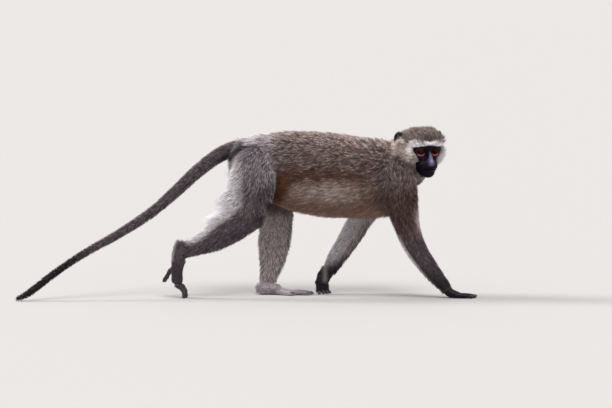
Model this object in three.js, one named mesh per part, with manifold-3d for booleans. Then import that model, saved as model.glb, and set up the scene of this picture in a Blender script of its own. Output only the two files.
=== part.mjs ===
// A life-size vervet monkey, walking, as a still model in named pieces.
// Millimetres. +X is the way it walks, +Y its left, +Z up. It stands on the floor at Z = 0.
// Y = 0 is the middle of the trunk until the last step, which moves the origin under the middle
// of the whole animal, outstretched hand and tail included.
// Each solid reaches out to the tips of the coat, and only the face, ears, palms and soles are bare.

import * as THREE from "three";
import { mergeVertices } from "three/addons/utils/BufferGeometryUtils.js";
import Module from "manifold-3d";

const wasm = await Module();
wasm.setup();

// ---------------------------------------------------------------- driving dimensions

const GAP = 0.3; // left between two pieces that meet
const MERGE = 1e-4; // corners nearer than this are one corner

const RIGHT = -1; // the side of the body, as the sign of Y
const LEFT = 1;

const HEAD_PLACE = { x: 406.5, y: -58, z: 331.5 }; // midway between the eyes
const HEAD_YAW = -68; // degrees from straight ahead, towards its right
const HEAD_PITCH = 11; // degrees, chin down

const EYE_RADIUS = 9;
const EYE_APART = 35; // from centre to centre
const EAR_HEIGHT = 34;
const EAR_WIDTH = 27;
const EAR_THICKNESS = 9;
const EAR_FACING = 42; // degrees the cup turns from the side towards the front

// Where a limb is parted, as shares of the length of its line.
const ELBOW_RIGHT = 0.5;
const ELBOW_LEFT = 0.5;
const TAIL_CUTS = [0.24, 0.5, 0.76];

const FLOOR_SIZE = 3000;

// ---------------------------------------------------------------- colours of the pieces

const GRIZZLED = { color: 0x7d7468, roughness: 0.9, metalness: 0 };
const SLATE = { color: 0x5d5a5f, roughness: 0.9, metalness: 0 };
const PALE_GREY = { color: 0x8f8a8a, roughness: 0.9, metalness: 0 };
const BLACK_SKIN = { color: 0x241d22, roughness: 0.7, metalness: 0 };
const DARK_EYE = { color: 0x2a1510, roughness: 0.1, metalness: 0 };

// ---------------------------------------------------------------- ways of making solids

// A place on the line of a limb, and how far its surface stands off that line:
// to the front (or top), to the back (or underside), and to each side.
function station(x, y, z, front, back, half) {
  return { middle: new THREE.Vector3(x, y, z), reach: new THREE.Vector3(front, back, half) };
}

function roundStation(middle, radius) {
  return { middle, reach: new THREE.Vector3(radius, radius, radius) };
}

// A capsule bent along the smooth line through the stations, with their sizes blended between them.
// The caps are as long as their factor times the half width at that end. A zero makes a flat end.
function bentBody({
  stations,
  rings,
  sides,
  capRings = 2,
  startCap = 1,
  endCap = 1,
  from = 0,
  to = 1,
  sideways = new THREE.Vector3(0, 1, 0),
  grow = 0,
}) {
  const line = new THREE.CatmullRomCurve3(stations.map((each) => each.middle));
  const reach = new THREE.CatmullRomCurve3(stations.map((each) => each.reach));
  const geometry = new THREE.CapsuleGeometry(1, 1, capRings, sides, rings);
  const corners = geometry.attributes.position;
  const corner = new THREE.Vector3();
  for (let i = 0; i < corners.count; i += 1) {
    corner.fromBufferAttribute(corners, i);
    const along = THREE.MathUtils.clamp(corner.y + 0.5, 0, 1);
    const beyond = corner.y + 0.5 - along;
    const t = line.getUtoTmapping(THREE.MathUtils.lerp(from, to, along));
    const tangent = line.getTangent(t);
    const side = sideways.clone().addScaledVector(tangent, -sideways.dot(tangent)).normalize();
    const front = new THREE.Vector3().crossVectors(tangent, side);
    const size = reach.getPoint(t).addScalar(grow);
    const cap = beyond < 0 ? startCap : endCap;
    const capLength = cap === 0 ? 0 : cap * size.z + grow;
    const point = line.getPoint(t);
    point.addScaledVector(tangent, beyond * capLength);
    point.addScaledVector(front, corner.x * (corner.x > 0 ? size.x : size.y));
    point.addScaledVector(side, corner.z * size.z);
    corners.setXYZ(i, point.x, point.y, point.z);
  }
  return geometry;
}

// One length of a limb, from one share of its line to another. An end that is cut is flat.
function limbLength({ stations, rings, from = 0, to = 1, startCap = 1, endCap = 1, ...rest }) {
  const line = new THREE.CatmullRomCurve3(stations.map((each) => each.middle));
  const halfGap = GAP / 2 / line.getLength();
  return solid(
    bentBody({
      stations,
      rings: Math.round(rings * (to - from)),
      capRings: from > 0 && to < 1 ? 1 : 2,
      startCap: from > 0 ? 0 : startCap,
      endCap: to < 1 ? 0 : endCap,
      from: from > 0 ? from + halfGap : 0,
      to: to < 1 ? to - halfGap : 1,
      ...rest,
    }),
  );
}

// A rounded lump. A squareness under 1 gives it flatter sides and fuller corners than an ellipsoid.
function lump({ at, half, turn = [0, 0, 0], squareness = 1, columns = 16, rows = 10, grow = 0 }) {
  const geometry = new THREE.SphereGeometry(1, columns, rows);
  const corners = geometry.attributes.position;
  const fuller = (share) => Math.sign(share) * Math.abs(share) ** squareness;
  for (let i = 0; i < corners.count; i += 1) {
    corners.setXYZ(i, fuller(corners.getX(i)), fuller(corners.getY(i)), fuller(corners.getZ(i)));
  }
  geometry.scale(half[0] + grow, half[1] + grow, half[2] + grow);
  geometry.rotateX(THREE.MathUtils.degToRad(turn[0]));
  geometry.rotateY(THREE.MathUtils.degToRad(turn[1]));
  geometry.rotateZ(THREE.MathUtils.degToRad(turn[2]));
  geometry.translate(at[0], at[1], at[2]);
  return geometry;
}

function solid(geometry) {
  const bare = geometry.clone();
  bare.deleteAttribute("normal");
  bare.deleteAttribute("uv");
  const merged = mergeVertices(bare, MERGE);
  return new wasm.Manifold(
    new wasm.Mesh({
      numProp: 3,
      vertProperties: Float32Array.from(merged.attributes.position.array),
      triVerts: Uint32Array.from(merged.index.array),
    }),
  );
}

function joined(geometries) {
  return geometries.map(solid).reduce((whole, part) => whole.add(part));
}

function largest(body) {
  return body.decompose().reduce((best, each) => (each.volume() > best.volume() ? each : best));
}

function without(body, ...cutters) {
  return largest(cutters.reduce((rest, cutter) => rest.subtract(cutter), body));
}

function underFloor() {
  const block = new THREE.BoxGeometry(FLOOR_SIZE, FLOOR_SIZE, FLOOR_SIZE);
  block.translate(0, 0, -FLOOR_SIZE / 2);
  return solid(block);
}

function pieceMesh(name, body, look) {
  const { vertProperties, triVerts } = body.getMesh();
  const geometry = new THREE.BufferGeometry();
  geometry.setAttribute("position", new THREE.BufferAttribute(vertProperties, 3));
  geometry.setIndex(new THREE.BufferAttribute(triVerts, 1));
  geometry.computeVertexNormals();
  const mesh = new THREE.Mesh(geometry, new THREE.MeshStandardMaterial(look));
  mesh.name = name;
  return mesh;
}

// ---------------------------------------------------------------- trunk and neck

function trunk(grow = 0) {
  return solid(
    bentBody({
      stations: [
        station(-6, 0, 304, 55, 56, 48),
        station(45, 0, 294, 74, 74, 58),
        station(95, 0, 286, 87, 86, 61),
        station(145, 0, 278, 93, 94, 64),
        station(200, 0, 271, 95, 94, 69),
        station(255, 0, 266, 91, 90, 71),
        station(305, 0, 266, 86, 88, 66),
        station(346, 0, 271, 74, 76, 54),
      ],
      rings: 13,
      sides: 18,
      capRings: 3,
      startCap: 0.62,
      endCap: 0.55,
      grow,
    }),
  );
}

function neck(grow = 0) {
  return solid(
    bentBody({
      stations: [
        station(318, 0, 286, 40, 52, 42),
        station(348, -4, 299, 50, 61, 50),
        station(372, -12, 308, 46, 54, 46),
        station(390, -22, 318, 38, 44, 38),
      ],
      rings: 4,
      sides: 12,
      grow,
    }),
  );
}

// ---------------------------------------------------------------- head, in its own frame
// The frame's origin is midway between the eyes, +X out of the face, +Y the monkey's left.

function cranium(grow) {
  return lump({
    at: [-42, 0, 8],
    half: [52, 46, 33],
    squareness: 0.78,
    columns: 16,
    rows: 10,
    grow,
  });
}

// The ruff of cheek fur stands out beside the face like a disc.
function cheekRuff(grow, side) {
  return lump({
    at: [-28, side * 29, -6],
    half: [31, 29, 35],
    turn: [side * 6, 0, side * -24],
    squareness: 0.8,
    columns: 9,
    rows: 7,
    grow,
  });
}

function brow(grow) {
  const corner = (side) => station(-6, side * 34, 5, 8, 8, 8);
  const arch = (side) => station(6, side * 18, 13, 9, 8, 8);
  return bentBody({
    stations: [corner(RIGHT), arch(RIGHT), station(8, 0, 12, 9, 9, 8), arch(LEFT), corner(LEFT)],
    rings: 6,
    sides: 6,
    capRings: 1,
    sideways: new THREE.Vector3(1, 0, 0),
    grow,
  });
}

function muzzle(grow) {
  return bentBody({
    stations: [
      station(-22, 0, -20, 14, 22, 25),
      station(-3, 0, -23, 15, 21, 23.5),
      station(11, 0, -28, 14, 17, 21),
      station(21, 0, -31, 11, 13, 17),
    ],
    rings: 3,
    sides: 12,
    endCap: 0.6,
    grow,
  });
}

function noseBridge(grow) {
  return bentBody({
    stations: [
      station(3, 0, 6, 5, 6, 7),
      station(11, 0, -6, 5, 8, 6.5),
      station(20, 0, -15, 5, 8, 6.5),
      station(26, 0, -22, 4.5, 8, 7.5),
    ],
    rings: 5,
    sides: 8,
    capRings: 1,
    grow,
  });
}

function jaw(grow) {
  return bentBody({
    stations: [
      station(-34, 0, -31, 16, 22, 27),
      station(-10, 0, -40, 17, 19, 22.5),
      station(12, 0, -43, 14, 18, 18),
    ],
    rings: 3,
    sides: 12,
    endCap: 0.64,
    grow,
  });
}

function cheekbone(grow, side) {
  return lump({
    at: [-3, side * 22, -11],
    half: [11, 11, 11],
    columns: 7,
    rows: 5,
    grow,
  });
}

function headPieces(grow = 0) {
  return [
    cranium(grow),
    cheekRuff(grow, RIGHT),
    cheekRuff(grow, LEFT),
    brow(grow),
    muzzle(grow),
    noseBridge(grow),
    jaw(grow),
    cheekbone(grow, RIGHT),
    cheekbone(grow, LEFT),
  ];
}

function eyeball(side, grow = 0) {
  return lump({
    at: [0, (side * EYE_APART) / 2, 0],
    half: [EYE_RADIUS, EYE_RADIUS, EYE_RADIUS],
    columns: 10,
    rows: 7,
    grow,
  });
}

const EAR_SEAT = { x: -55, y: 46, z: 13 };

function earShell(side, grow = 0) {
  return lump({
    at: [EAR_SEAT.x, side * EAR_SEAT.y, EAR_SEAT.z],
    half: [EAR_WIDTH / 2, EAR_THICKNESS / 2, EAR_HEIGHT / 2],
    turn: [side * -10, 12, side * -EAR_FACING],
    columns: 9,
    rows: 7,
    grow,
  });
}

// A round cup with a rolled rim, open to the front and side.
function ear(side) {
  const hollow = lump({
    at: [EAR_SEAT.x + 4, side * (EAR_SEAT.y + 4), EAR_SEAT.z + 1],
    half: [EAR_WIDTH / 2 - 4, EAR_THICKNESS / 2, EAR_HEIGHT / 2 - 5],
    turn: [side * -10, 12, side * -EAR_FACING],
    columns: 8,
    rows: 5,
  });
  return solid(earShell(side)).subtract(solid(hollow));
}

function headInPlace(grow) {
  return headPieces(grow).map((piece) => piece.applyMatrix4(headPlace()));
}

function headPlace() {
  const turn = new THREE.Euler(
    0,
    THREE.MathUtils.degToRad(HEAD_PITCH),
    THREE.MathUtils.degToRad(HEAD_YAW),
    "ZYX",
  );
  return new THREE.Matrix4()
    .makeRotationFromEuler(turn)
    .setPosition(HEAD_PLACE.x, HEAD_PLACE.y, HEAD_PLACE.z);
}

// ---------------------------------------------------------------- arms

const ARM_RIGHT = [
  station(336, -44, 292, 40, 44, 28),
  station(342, -54, 248, 43, 42, 27),
  station(347, -60, 205, 40, 34, 24),
  station(358, -61, 158, 33, 25, 20),
  station(376, -60, 118, 26, 25, 19),
  station(399, -57, 83, 22, 23, 17),
  station(427, -54, 47, 18, 19, 14),
  station(448, -51, 23, 13, 14, 12),
];

const ARM_LEFT = [
  station(328, 44, 290, 42, 44, 28),
  station(310, 52, 252, 42, 40, 27),
  station(288, 55, 214, 36, 33, 24),
  station(264, 54, 180, 29, 28, 20),
  station(244, 52, 143, 26, 28, 19),
  station(223, 49, 109, 23, 25, 18),
  station(202, 46, 78, 21, 22, 15),
  station(186, 44, 52, 17, 16, 13),
];

function arm(stations, share = {}) {
  return limbLength({ stations, rings: 12, sides: 10, endCap: 0.4, ...share });
}

// ---------------------------------------------------------------- legs

const THIGH_RIGHT = [
  station(16, -36, 322, 46, 42, 30),
  station(21, -48, 286, 57, 58, 34),
  station(13, -57, 248, 54, 56, 32),
  station(8, -63, 220, 48, 52, 28),
  station(22, -66, 192, 27, 36, 23),
];

const SHANK_RIGHT = [
  station(24, -66, 188, 29, 30, 23),
  station(-26, -65, 163, 36, 40, 25),
  station(-72, -62, 139, 35, 31, 22),
  station(-108, -59, 121, 26, 23, 18),
  station(-138, -56, 109, 20, 17, 14),
];

const THIGH_LEFT = [
  station(14, 36, 320, 46, 42, 30),
  station(32, 46, 284, 56, 56, 34),
  station(48, 53, 248, 50, 52, 31),
  station(66, 56, 218, 38, 42, 27),
  station(82, 55, 190, 26, 28, 22),
];

const SHANK_LEFT = [
  station(80, 55, 190, 28, 30, 23),
  station(68, 52, 156, 38, 38, 25),
  station(62, 47, 121, 40, 38, 24),
  station(59, 41, 89, 35, 33, 20),
  station(54, 35, 60, 27, 26, 16),
  station(48, 30, 32, 20, 20, 14),
];

function thigh(stations, grow = 0) {
  return limbLength({ stations, rings: 7, sides: 12, endCap: 0.7, grow });
}

function shank(stations, grow = 0) {
  return limbLength({ stations, rings: 7, sides: 10, startCap: 0.7, endCap: 0.5, grow });
}

// ---------------------------------------------------------------- fingers and toes

const DIGIT_SHARES = [0.86, 1, 0.96, 0.82]; // lengths from the thumb's side outwards
const KNUCKLE_ARCH = 5; // how far the outer knuckles lie behind the middle ones

// A digit steps down its bones to a tip whose middle is at tipHeight. Slopes and heading are in
// degrees, a slope from the level and the heading from +X.
function digit({ x, y, heading, slopes, bones, radius, tipRadius, tipHeight }) {
  const turn = THREE.MathUtils.degToRad(heading);
  const ahead = new THREE.Vector3(Math.cos(turn), Math.sin(turn), 0);
  const across = new THREE.Vector3(-Math.sin(turn), Math.cos(turn), 0);
  const steps = slopes.map((slope, i) => {
    const tilt = THREE.MathUtils.degToRad(slope);
    return ahead.clone().multiplyScalar(Math.cos(tilt) * bones[i]).setZ(Math.sin(tilt) * bones[i]);
  });
  const rise = steps.reduce((sum, step) => sum + step.z, 0);
  const place = new THREE.Vector3(x, y, tipHeight - rise);
  const stations = [roundStation(place.clone(), radius)];
  steps.forEach((step, i) => {
    const share = (i + 1) / steps.length;
    place.add(step);
    stations.push(roundStation(place.clone(), THREE.MathUtils.lerp(radius, tipRadius, share)));
  });
  return bentBody({ stations, rings: 3, sides: 6, sideways: across });
}

// Four digits side by side across the ball of a hand or foot.
function digitRow({ x, y, side, width, spread, heading = 0, bones, ...rest }) {
  const turn = THREE.MathUtils.degToRad(heading);
  return DIGIT_SHARES.map((share, i) => {
    const outward = side * (i / (DIGIT_SHARES.length - 1) - 0.5);
    const back = Math.abs(outward) * KNUCKLE_ARCH;
    return digit({
      x: x - Math.sin(turn) * outward * width - Math.cos(turn) * back,
      y: y + Math.cos(turn) * outward * width - Math.sin(turn) * back,
      heading: heading + outward * spread,
      bones: bones.map((bone) => bone * share),
      ...rest,
    });
  });
}

const FINGER = { radius: 5, tipRadius: 3.7, tipHeight: 3.1 };
const TOE = { radius: 5, tipRadius: 3.8, tipHeight: 3.2 };

// The leading hand lies flat, with its fingers ahead.
function handRight() {
  const palm = bentBody({
    stations: [
      station(443, -51, 24, 11, 11, 12),
      station(460, -50, 12, 8, 12.8, 15),
      station(477, -49, 6.5, 6, 7.8, 16),
    ],
    rings: 2,
    sides: 8,
    endCap: 0.5,
  });
  const fingers = digitRow({
    x: 477,
    y: -49,
    side: RIGHT,
    width: 24,
    spread: 26,
    slopes: [6, -7, -12],
    bones: [16, 12, 10],
    ...FINGER,
  });
  const thumb = digit({ x: 459, y: -40, heading: 46, slopes: [-14, -6], bones: [14, 11], ...FINGER });
  return joined([palm, ...fingers, thumb]);
}

// The trailing hand has rolled up onto its fingertips.
function handLeft() {
  const palm = bentBody({
    stations: [
      station(184, 43, 56, 15, 14, 13),
      station(175, 42, 41, 17, 16, 13),
      station(170, 41, 27, 15, 14, 13),
    ],
    rings: 2,
    sides: 8,
    endCap: 0.5,
  });
  const fingers = digitRow({
    x: 171,
    y: 41,
    side: LEFT,
    width: 26,
    spread: 22,
    heading: -52,
    slopes: [-68, -86, -40],
    bones: [14, 11, 7],
    ...FINGER,
  });
  const thumb = digit({
    x: 168,
    y: 33,
    heading: -172,
    slopes: [-66, -84],
    bones: [17, 12],
    ...FINGER,
    tipHeight: 8,
  });
  return joined([palm, ...fingers, thumb]);
}

// The trailing foot has its heel up, its toes curled under it and its big toe standing off behind.
function footRight() {
  const sole = bentBody({
    stations: [
      station(-146, -56, 118, 10, 12, 12),
      station(-150, -55, 96, 14, 14, 13),
      station(-154, -53, 66, 13, 14, 15),
      station(-154, -51, 38, 12, 13, 16),
    ],
    rings: 5,
    sides: 8,
    endCap: 0.55,
  });
  const toes = digitRow({
    x: -153,
    y: -51,
    side: RIGHT,
    width: 24,
    spread: 18,
    slopes: [-32, -64, -96],
    bones: [17, 13, 10],
    ...TOE,
  });
  const bigToe = digit({
    x: -160,
    y: -40,
    heading: 162,
    slopes: [-40, -60, -58],
    bones: [15, 13, 11],
    radius: 7,
    tipRadius: 5,
    tipHeight: 38,
  });
  return joined([sole, ...toes, bigToe]);
}

// The leading foot stands flat from heel to toes.
function footLeft() {
  const sole = bentBody({
    stations: [
      station(31, 28, 13, 13, 14.6, 12),
      station(50, 28, 16, 13, 17.6, 13),
      station(78, 26, 8.5, 6, 10, 14),
      station(106, 24, 5.5, 5, 7, 16),
    ],
    rings: 5,
    sides: 8,
    endCap: 0.5,
  });
  const toes = digitRow({
    x: 106,
    y: 24,
    side: LEFT,
    width: 25,
    spread: 22,
    slopes: [7, -5, -12],
    bones: [18, 14, 10],
    ...TOE,
  });
  const bigToe = digit({
    x: 72,
    y: 17,
    heading: -36,
    slopes: [-4, 0, -4],
    bones: [16, 13, 10],
    radius: 6.6,
    tipRadius: 4.8,
    tipHeight: 4.2,
  });
  return joined([sole, ...toes, bigToe]);
}

// ---------------------------------------------------------------- tail

const TAIL_STATIONS = [
  station(4, 0, 339, 16, 16, 16),
  station(-30, 0, 332, 18, 18, 18),
  station(-62, -2, 317, 17.5, 17.5, 17),
  station(-108, -8, 283, 16, 16, 15.5),
  station(-160, -18, 235, 14, 14, 13.5),
  station(-212, -31, 191, 12.5, 12.5, 12),
  station(-280, -51, 147, 11, 11, 11),
  station(-348, -74, 110, 9.6, 9.6, 9.6),
  station(-402, -93, 77, 8.8, 8.8, 8.8),
  station(-450, -108, 42, 9.2, 9.2, 9.2),
  station(-484, -117, 16, 8.6, 8.6, 8.6),
  station(-506, -123, 6, 6.4, 6.4, 6.4),
];

function tailLength(from, to) {
  return limbLength({ stations: TAIL_STATIONS, rings: 26, sides: 9, endCap: 1.2, from, to });
}

// ---------------------------------------------------------------- the whole animal

function limbPieces(name, look, { armStations, elbow, hand, thighStations, shankStations, foot }) {
  const torso = [trunk(GAP), neck(GAP), joined(headInPlace(GAP))];
  const floor = underFloor();
  const upperArm = without(arm(armStations, { to: elbow }), ...torso);
  const forearm = without(arm(armStations, { from: elbow }), ...torso);
  const thighPiece = without(thigh(thighStations), ...torso);
  const shankPiece = without(shank(shankStations), thigh(thighStations, GAP), ...torso);
  return [
    pieceMesh(`upper_arm_${name}`, upperArm, look),
    pieceMesh(`forearm_${name}`, forearm, look),
    pieceMesh(`hand_${name}`, without(hand, arm(armStations, { grow: GAP }), floor), BLACK_SKIN),
    pieceMesh(`thigh_${name}`, thighPiece, look),
    pieceMesh(`shank_${name}`, shankPiece, look),
    pieceMesh(`foot_${name}`, without(foot, shank(shankStations, GAP), floor), BLACK_SKIN),
  ];
}

function tailPieces() {
  const [first, second, third] = TAIL_CUTS;
  return [
    pieceMesh("tail_root", without(tailLength(0, first), trunk(GAP)), SLATE),
    pieceMesh("tail_upper", tailLength(first, second), SLATE),
    pieceMesh("tail_lower", tailLength(second, third), SLATE),
    pieceMesh("tail_tip", without(tailLength(third, 1), underFloor()), BLACK_SKIN),
  ];
}

function bodyGroup() {
  const headSpace = joined(headInPlace(GAP));
  const group = new THREE.Group();
  group.add(pieceMesh("trunk", without(trunk(), headSpace), GRIZZLED));
  const earSpace = [RIGHT, LEFT].map((side) => solid(earShell(side, GAP).applyMatrix4(headPlace())));
  const neckPiece = without(neck(), trunk(GAP), headSpace, ...earSpace);
  group.add(pieceMesh("neck", neckPiece, GRIZZLED));
  group.add(
    ...limbPieces("right", GRIZZLED, {
      armStations: ARM_RIGHT,
      elbow: ELBOW_RIGHT,
      hand: handRight(),
      thighStations: THIGH_RIGHT,
      shankStations: SHANK_RIGHT,
      foot: footRight(),
    }),
    ...limbPieces("left", PALE_GREY, {
      armStations: ARM_LEFT,
      elbow: ELBOW_LEFT,
      hand: handLeft(),
      thighStations: THIGH_LEFT,
      shankStations: SHANK_LEFT,
      foot: footLeft(),
    }),
    ...tailPieces(),
  );
  return group;
}

function headGroup() {
  const headSpace = joined(headPieces(GAP));
  const sockets = [RIGHT, LEFT].map((side) => solid(eyeball(side, GAP)));
  const group = new THREE.Group();
  group.add(pieceMesh("head", without(joined(headPieces()), ...sockets), GRIZZLED));
  for (const [name, side] of [["right", RIGHT], ["left", LEFT]]) {
    group.add(pieceMesh(`eye_${name}`, solid(eyeball(side)), DARK_EYE));
    group.add(pieceMesh(`ear_${name}`, without(ear(side), headSpace), BLACK_SKIN));
  }
  group.applyMatrix4(headPlace());
  return group;
}

const monkey = new THREE.Group();
monkey.add(bodyGroup());
monkey.add(headGroup());
const middle = new THREE.Box3().setFromObject(monkey, true).getCenter(new THREE.Vector3());
monkey.position.set(-middle.x, -middle.y, 0);

export default monkey;
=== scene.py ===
# %% [markdown]
# # A vervet monkey, walking, at life size
# This lesson dresses the fixed frame of a monkey: one skin over all the flesh, two wet eyes,
# twenty nails, and a coat of some hundred thousand small solid tufts.
# The frame gives every place and size, so it is loaded first and nothing in it is moved.

# %% Load the frame
import math

import bmesh
import bpy
import numpy as np
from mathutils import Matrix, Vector
from mathutils.bvhtree import BVHTree
from mathutils.kdtree import KDTree


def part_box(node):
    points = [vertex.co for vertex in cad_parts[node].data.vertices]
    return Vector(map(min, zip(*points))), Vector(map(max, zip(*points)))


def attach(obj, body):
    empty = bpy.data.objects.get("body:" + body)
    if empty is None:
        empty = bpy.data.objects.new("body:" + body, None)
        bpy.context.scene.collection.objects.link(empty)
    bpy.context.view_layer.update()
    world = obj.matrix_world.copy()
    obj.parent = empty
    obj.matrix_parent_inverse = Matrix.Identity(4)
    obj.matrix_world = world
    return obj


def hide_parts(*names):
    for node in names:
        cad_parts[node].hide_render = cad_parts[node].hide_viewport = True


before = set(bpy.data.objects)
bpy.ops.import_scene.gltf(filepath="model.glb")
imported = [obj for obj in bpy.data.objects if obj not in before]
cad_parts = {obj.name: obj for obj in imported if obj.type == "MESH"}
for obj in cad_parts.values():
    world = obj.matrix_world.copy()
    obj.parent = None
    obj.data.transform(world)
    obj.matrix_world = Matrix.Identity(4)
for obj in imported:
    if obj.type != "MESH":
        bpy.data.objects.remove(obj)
bpy.context.view_layer.update()

# %% [markdown]
# ## Two frames to think in
# Sizes are easier to read in millimetres, with zero under the middle of the trunk, so the body
# frame has its origin there. The head is turned and nodded, so its features get a frame of their
# own: its origin is midway between the eyes, X points out of the face and Y to the animal's left.
# Both are worked out from the frame's boxes.

# %% The body frame and the head frame
MM = 0.001
TRUNK_REAR = -37.0  # where the trunk's rear end lies, in the body frame
HEAD_NOD = math.radians(11)  # chin down

trunk_low, trunk_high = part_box("trunk")
BODY_ORIGIN = np.array(
    [trunk_low.x / MM - TRUNK_REAR, (trunk_low.y + trunk_high.y) / 2 / MM, 0.0]
)


def node_middle(name):
    low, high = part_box(name)
    return np.array((low + high) / 2) / MM - BODY_ORIGIN


def in_metres(points):
    return (points + BODY_ORIGIN) * MM


EYE_RIGHT = node_middle("eye_right")
EYE_LEFT = node_middle("eye_left")
HEAD_MIDDLE = (EYE_RIGHT + EYE_LEFT) / 2
head_left = (EYE_LEFT - EYE_RIGHT) / np.linalg.norm(EYE_LEFT - EYE_RIGHT)
level_ahead = np.array([head_left[1], -head_left[0], 0.0])
UP = np.array([0.0, 0.0, 1.0])
head_ahead = math.cos(HEAD_NOD) * level_ahead - math.sin(HEAD_NOD) * UP
head_up = math.cos(HEAD_NOD) * UP + math.sin(HEAD_NOD) * level_ahead
HEAD_AXES = np.array([head_ahead, head_left, head_up])


def to_head(points):
    return (points - HEAD_MIDDLE) @ HEAD_AXES.T


def from_head(points):
    return points @ HEAD_AXES + HEAD_MIDDLE


EYE_APART = np.linalg.norm(EYE_LEFT - EYE_RIGHT)
EYE_RADIUS = (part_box("eye_right")[1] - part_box("eye_right")[0]).z / 2 / MM
print("eyes", round(EYE_APART, 1), "mm apart, radius", round(EYE_RADIUS, 1), "mm")

# %% [markdown]
# ## Camera
# A long lens from nine metres away keeps the animal's proportions true, as a naturalist's
# telephoto does. It looks straight across the animal, a few degrees down.

# %% Camera
CAMERA_DISTANCE = 9.0
CAMERA_DROP = math.radians(4.5)  # how far the view looks down
FRAME_PIXELS = 612
MM_PER_PIXEL = 2.25  # at the middle of the body
LOOK_AT = np.array([133.9, 0.0, 207.2])  # the middle of the picture, in the body frame

camera = bpy.data.objects.new("camera", bpy.data.cameras.new("camera"))
bpy.context.scene.collection.objects.link(camera)
bpy.context.scene.camera = camera
camera.data.sensor_width = 36
camera.data.lens = camera.data.sensor_width * CAMERA_DISTANCE / (FRAME_PIXELS * MM_PER_PIXEL * MM)
view_line = Vector((0, math.cos(CAMERA_DROP), -math.sin(CAMERA_DROP)))
camera.location = Vector(in_metres(LOOK_AT)) - view_line * CAMERA_DISTANCE
camera.rotation_euler = view_line.to_track_quat("-Z", "Y").to_euler()
camera.data.clip_end = 100
print("lens", round(camera.data.lens, 1), "mm")

# %% [markdown]
# ## Small helpers
# Most of this model is made with arrays, because a hundred thousand tufts are far too many to
# place one by one. These few functions blend, mix, add smooth noise, and turn arrays to meshes.

# %% Helpers for numbers
def ramp(low, high, value):
    """0 at low, 1 at high, and smooth between them."""
    share = np.clip((value - low) / (high - low), 0, 1)
    return share * share * (3 - 2 * share)


def bell(values, middle, width):
    return np.exp(-(((values - middle) / width) ** 2))


def mix(a, b, share):
    return a + (b - a) * np.asarray(share)[..., None]


def unit(vectors):
    return vectors / np.maximum(np.linalg.norm(vectors, axis=-1, keepdims=True), 1e-9)


def linear(code):
    """A hex sRGB colour as three linear numbers."""
    parts = np.array([int(code[i : i + 2], 16) / 255 for i in (1, 3, 5)])
    return np.where(parts <= 0.04045, parts / 12.92, ((parts + 0.055) / 1.055) ** 2.4)


def waves(points, length, seed):
    """Smooth noise from -1 to 1 with bumps about as long as length, in millimetres."""
    rng = np.random.default_rng(seed)
    total = np.zeros(len(points))
    for _ in range(7):  # seven waves, whose sum seldom passes 3.2
        heading = unit(rng.normal(size=3)) * 2 * math.pi / length * rng.uniform(0.6, 1.5)
        total += np.sin(points @ heading + rng.uniform(0, 2 * math.pi))
    return np.clip(total / 3.2, -1, 1)


print("middle grey is", linear("#808080").round(3), "in light")


# %% Helpers for meshes
def make_mesh(name, points, faces):
    """A mesh object from points in the body frame and an array of equal-sided faces."""
    mesh = bpy.data.meshes.new(name)
    mesh.vertices.add(len(points))
    mesh.vertices.foreach_set("co", in_metres(points).astype(np.float32).ravel())
    mesh.loops.add(faces.size)
    mesh.loops.foreach_set("vertex_index", faces.astype(np.int32).ravel())
    mesh.polygons.add(len(faces))
    starts = np.arange(len(faces), dtype=np.int32) * faces.shape[1]
    mesh.polygons.foreach_set("loop_start", starts)
    mesh.update(calc_edges=True)
    mesh.shade_smooth()
    piece = bpy.data.objects.new(name, mesh)
    bpy.context.scene.collection.objects.link(piece)
    return piece


def read(rows, name, width, number=np.float32):
    """One property of many mesh rows, as an array that is so many numbers wide."""
    flat = np.empty(len(rows) * width, number)
    rows.foreach_get(name, flat)
    return flat.reshape(-1, width)


def mesh_points(mesh):
    return read(mesh.vertices, "co", 3).astype(float) / MM - BODY_ORIGIN


def mesh_triangles(mesh):
    mesh.calc_loop_triangles()
    return read(mesh.loop_triangles, "vertices", 3, np.int32)


def summed(index, rows, count):
    """For each place, the sum of the rows whose index says that place."""
    sums = [np.bincount(index, weights=column, minlength=count) for column in rows.T]
    return np.stack(sums, axis=1)


def point_normals(points, triangles):
    a, b, c = (points[triangles[:, i]] for i in range(3))
    across = np.cross(b - a, c - a)
    return unit(sum(summed(triangles[:, i], across, len(points)) for i in range(3)))


def stacked(pieces):
    """Joins pieces, each given as points, faces and more, into one, and renumbers its faces."""
    starts = np.cumsum([0] + [len(points) for points, *_ in pieces])
    pieces = [(points, faces + start, *more) for (points, faces, *more), start in zip(pieces, starts)]
    return [np.concatenate(rows) for rows in zip(*pieces)]


def modified(piece, kind_of_modifier, chosen=None, **settings):
    """Applies one modifier to a piece, or to its chosen points only."""
    modifier = piece.modifiers.new(kind_of_modifier, kind_of_modifier)
    for name, value in settings.items():
        setattr(modifier, name, value)
    if chosen is not None:
        group = piece.vertex_groups.new(name="chosen")
        group.add(np.flatnonzero(chosen).tolist(), 1.0, "REPLACE")
        modifier.vertex_group = group.name
    graph = bpy.context.evaluated_depsgraph_get()
    mesh = bpy.data.meshes.new_from_object(piece.evaluated_get(graph))
    old = piece.data
    piece.modifiers.clear()
    piece.data = mesh
    piece.vertex_groups.clear()
    bpy.data.meshes.remove(old)
    return piece


# %% [markdown]
# ## The bare head
# A furred head hides its real shape. Under a vervet's cap and ruff is a small round skull with
# a flat, black face: a straight brow ridge, close-set eyes, a long nose ridge and a blunt muzzle.
# It could be sculpted by hand, but code can do it as a sum of soft shapes: each is a distance
# function, blended into the next like clay. The surface is where the total distance is zero.
# Y is taken without its sign, so that both halves of the face match.

# %% Soft shapes
def blend(a, b, soft):
    share = np.clip(0.5 + 0.5 * (b - a) / soft, 0, 1)
    return b * (1 - share) + a * share - soft * share * (1 - share)


def carve(a, b, soft):
    return -blend(-a, b, soft)


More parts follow.
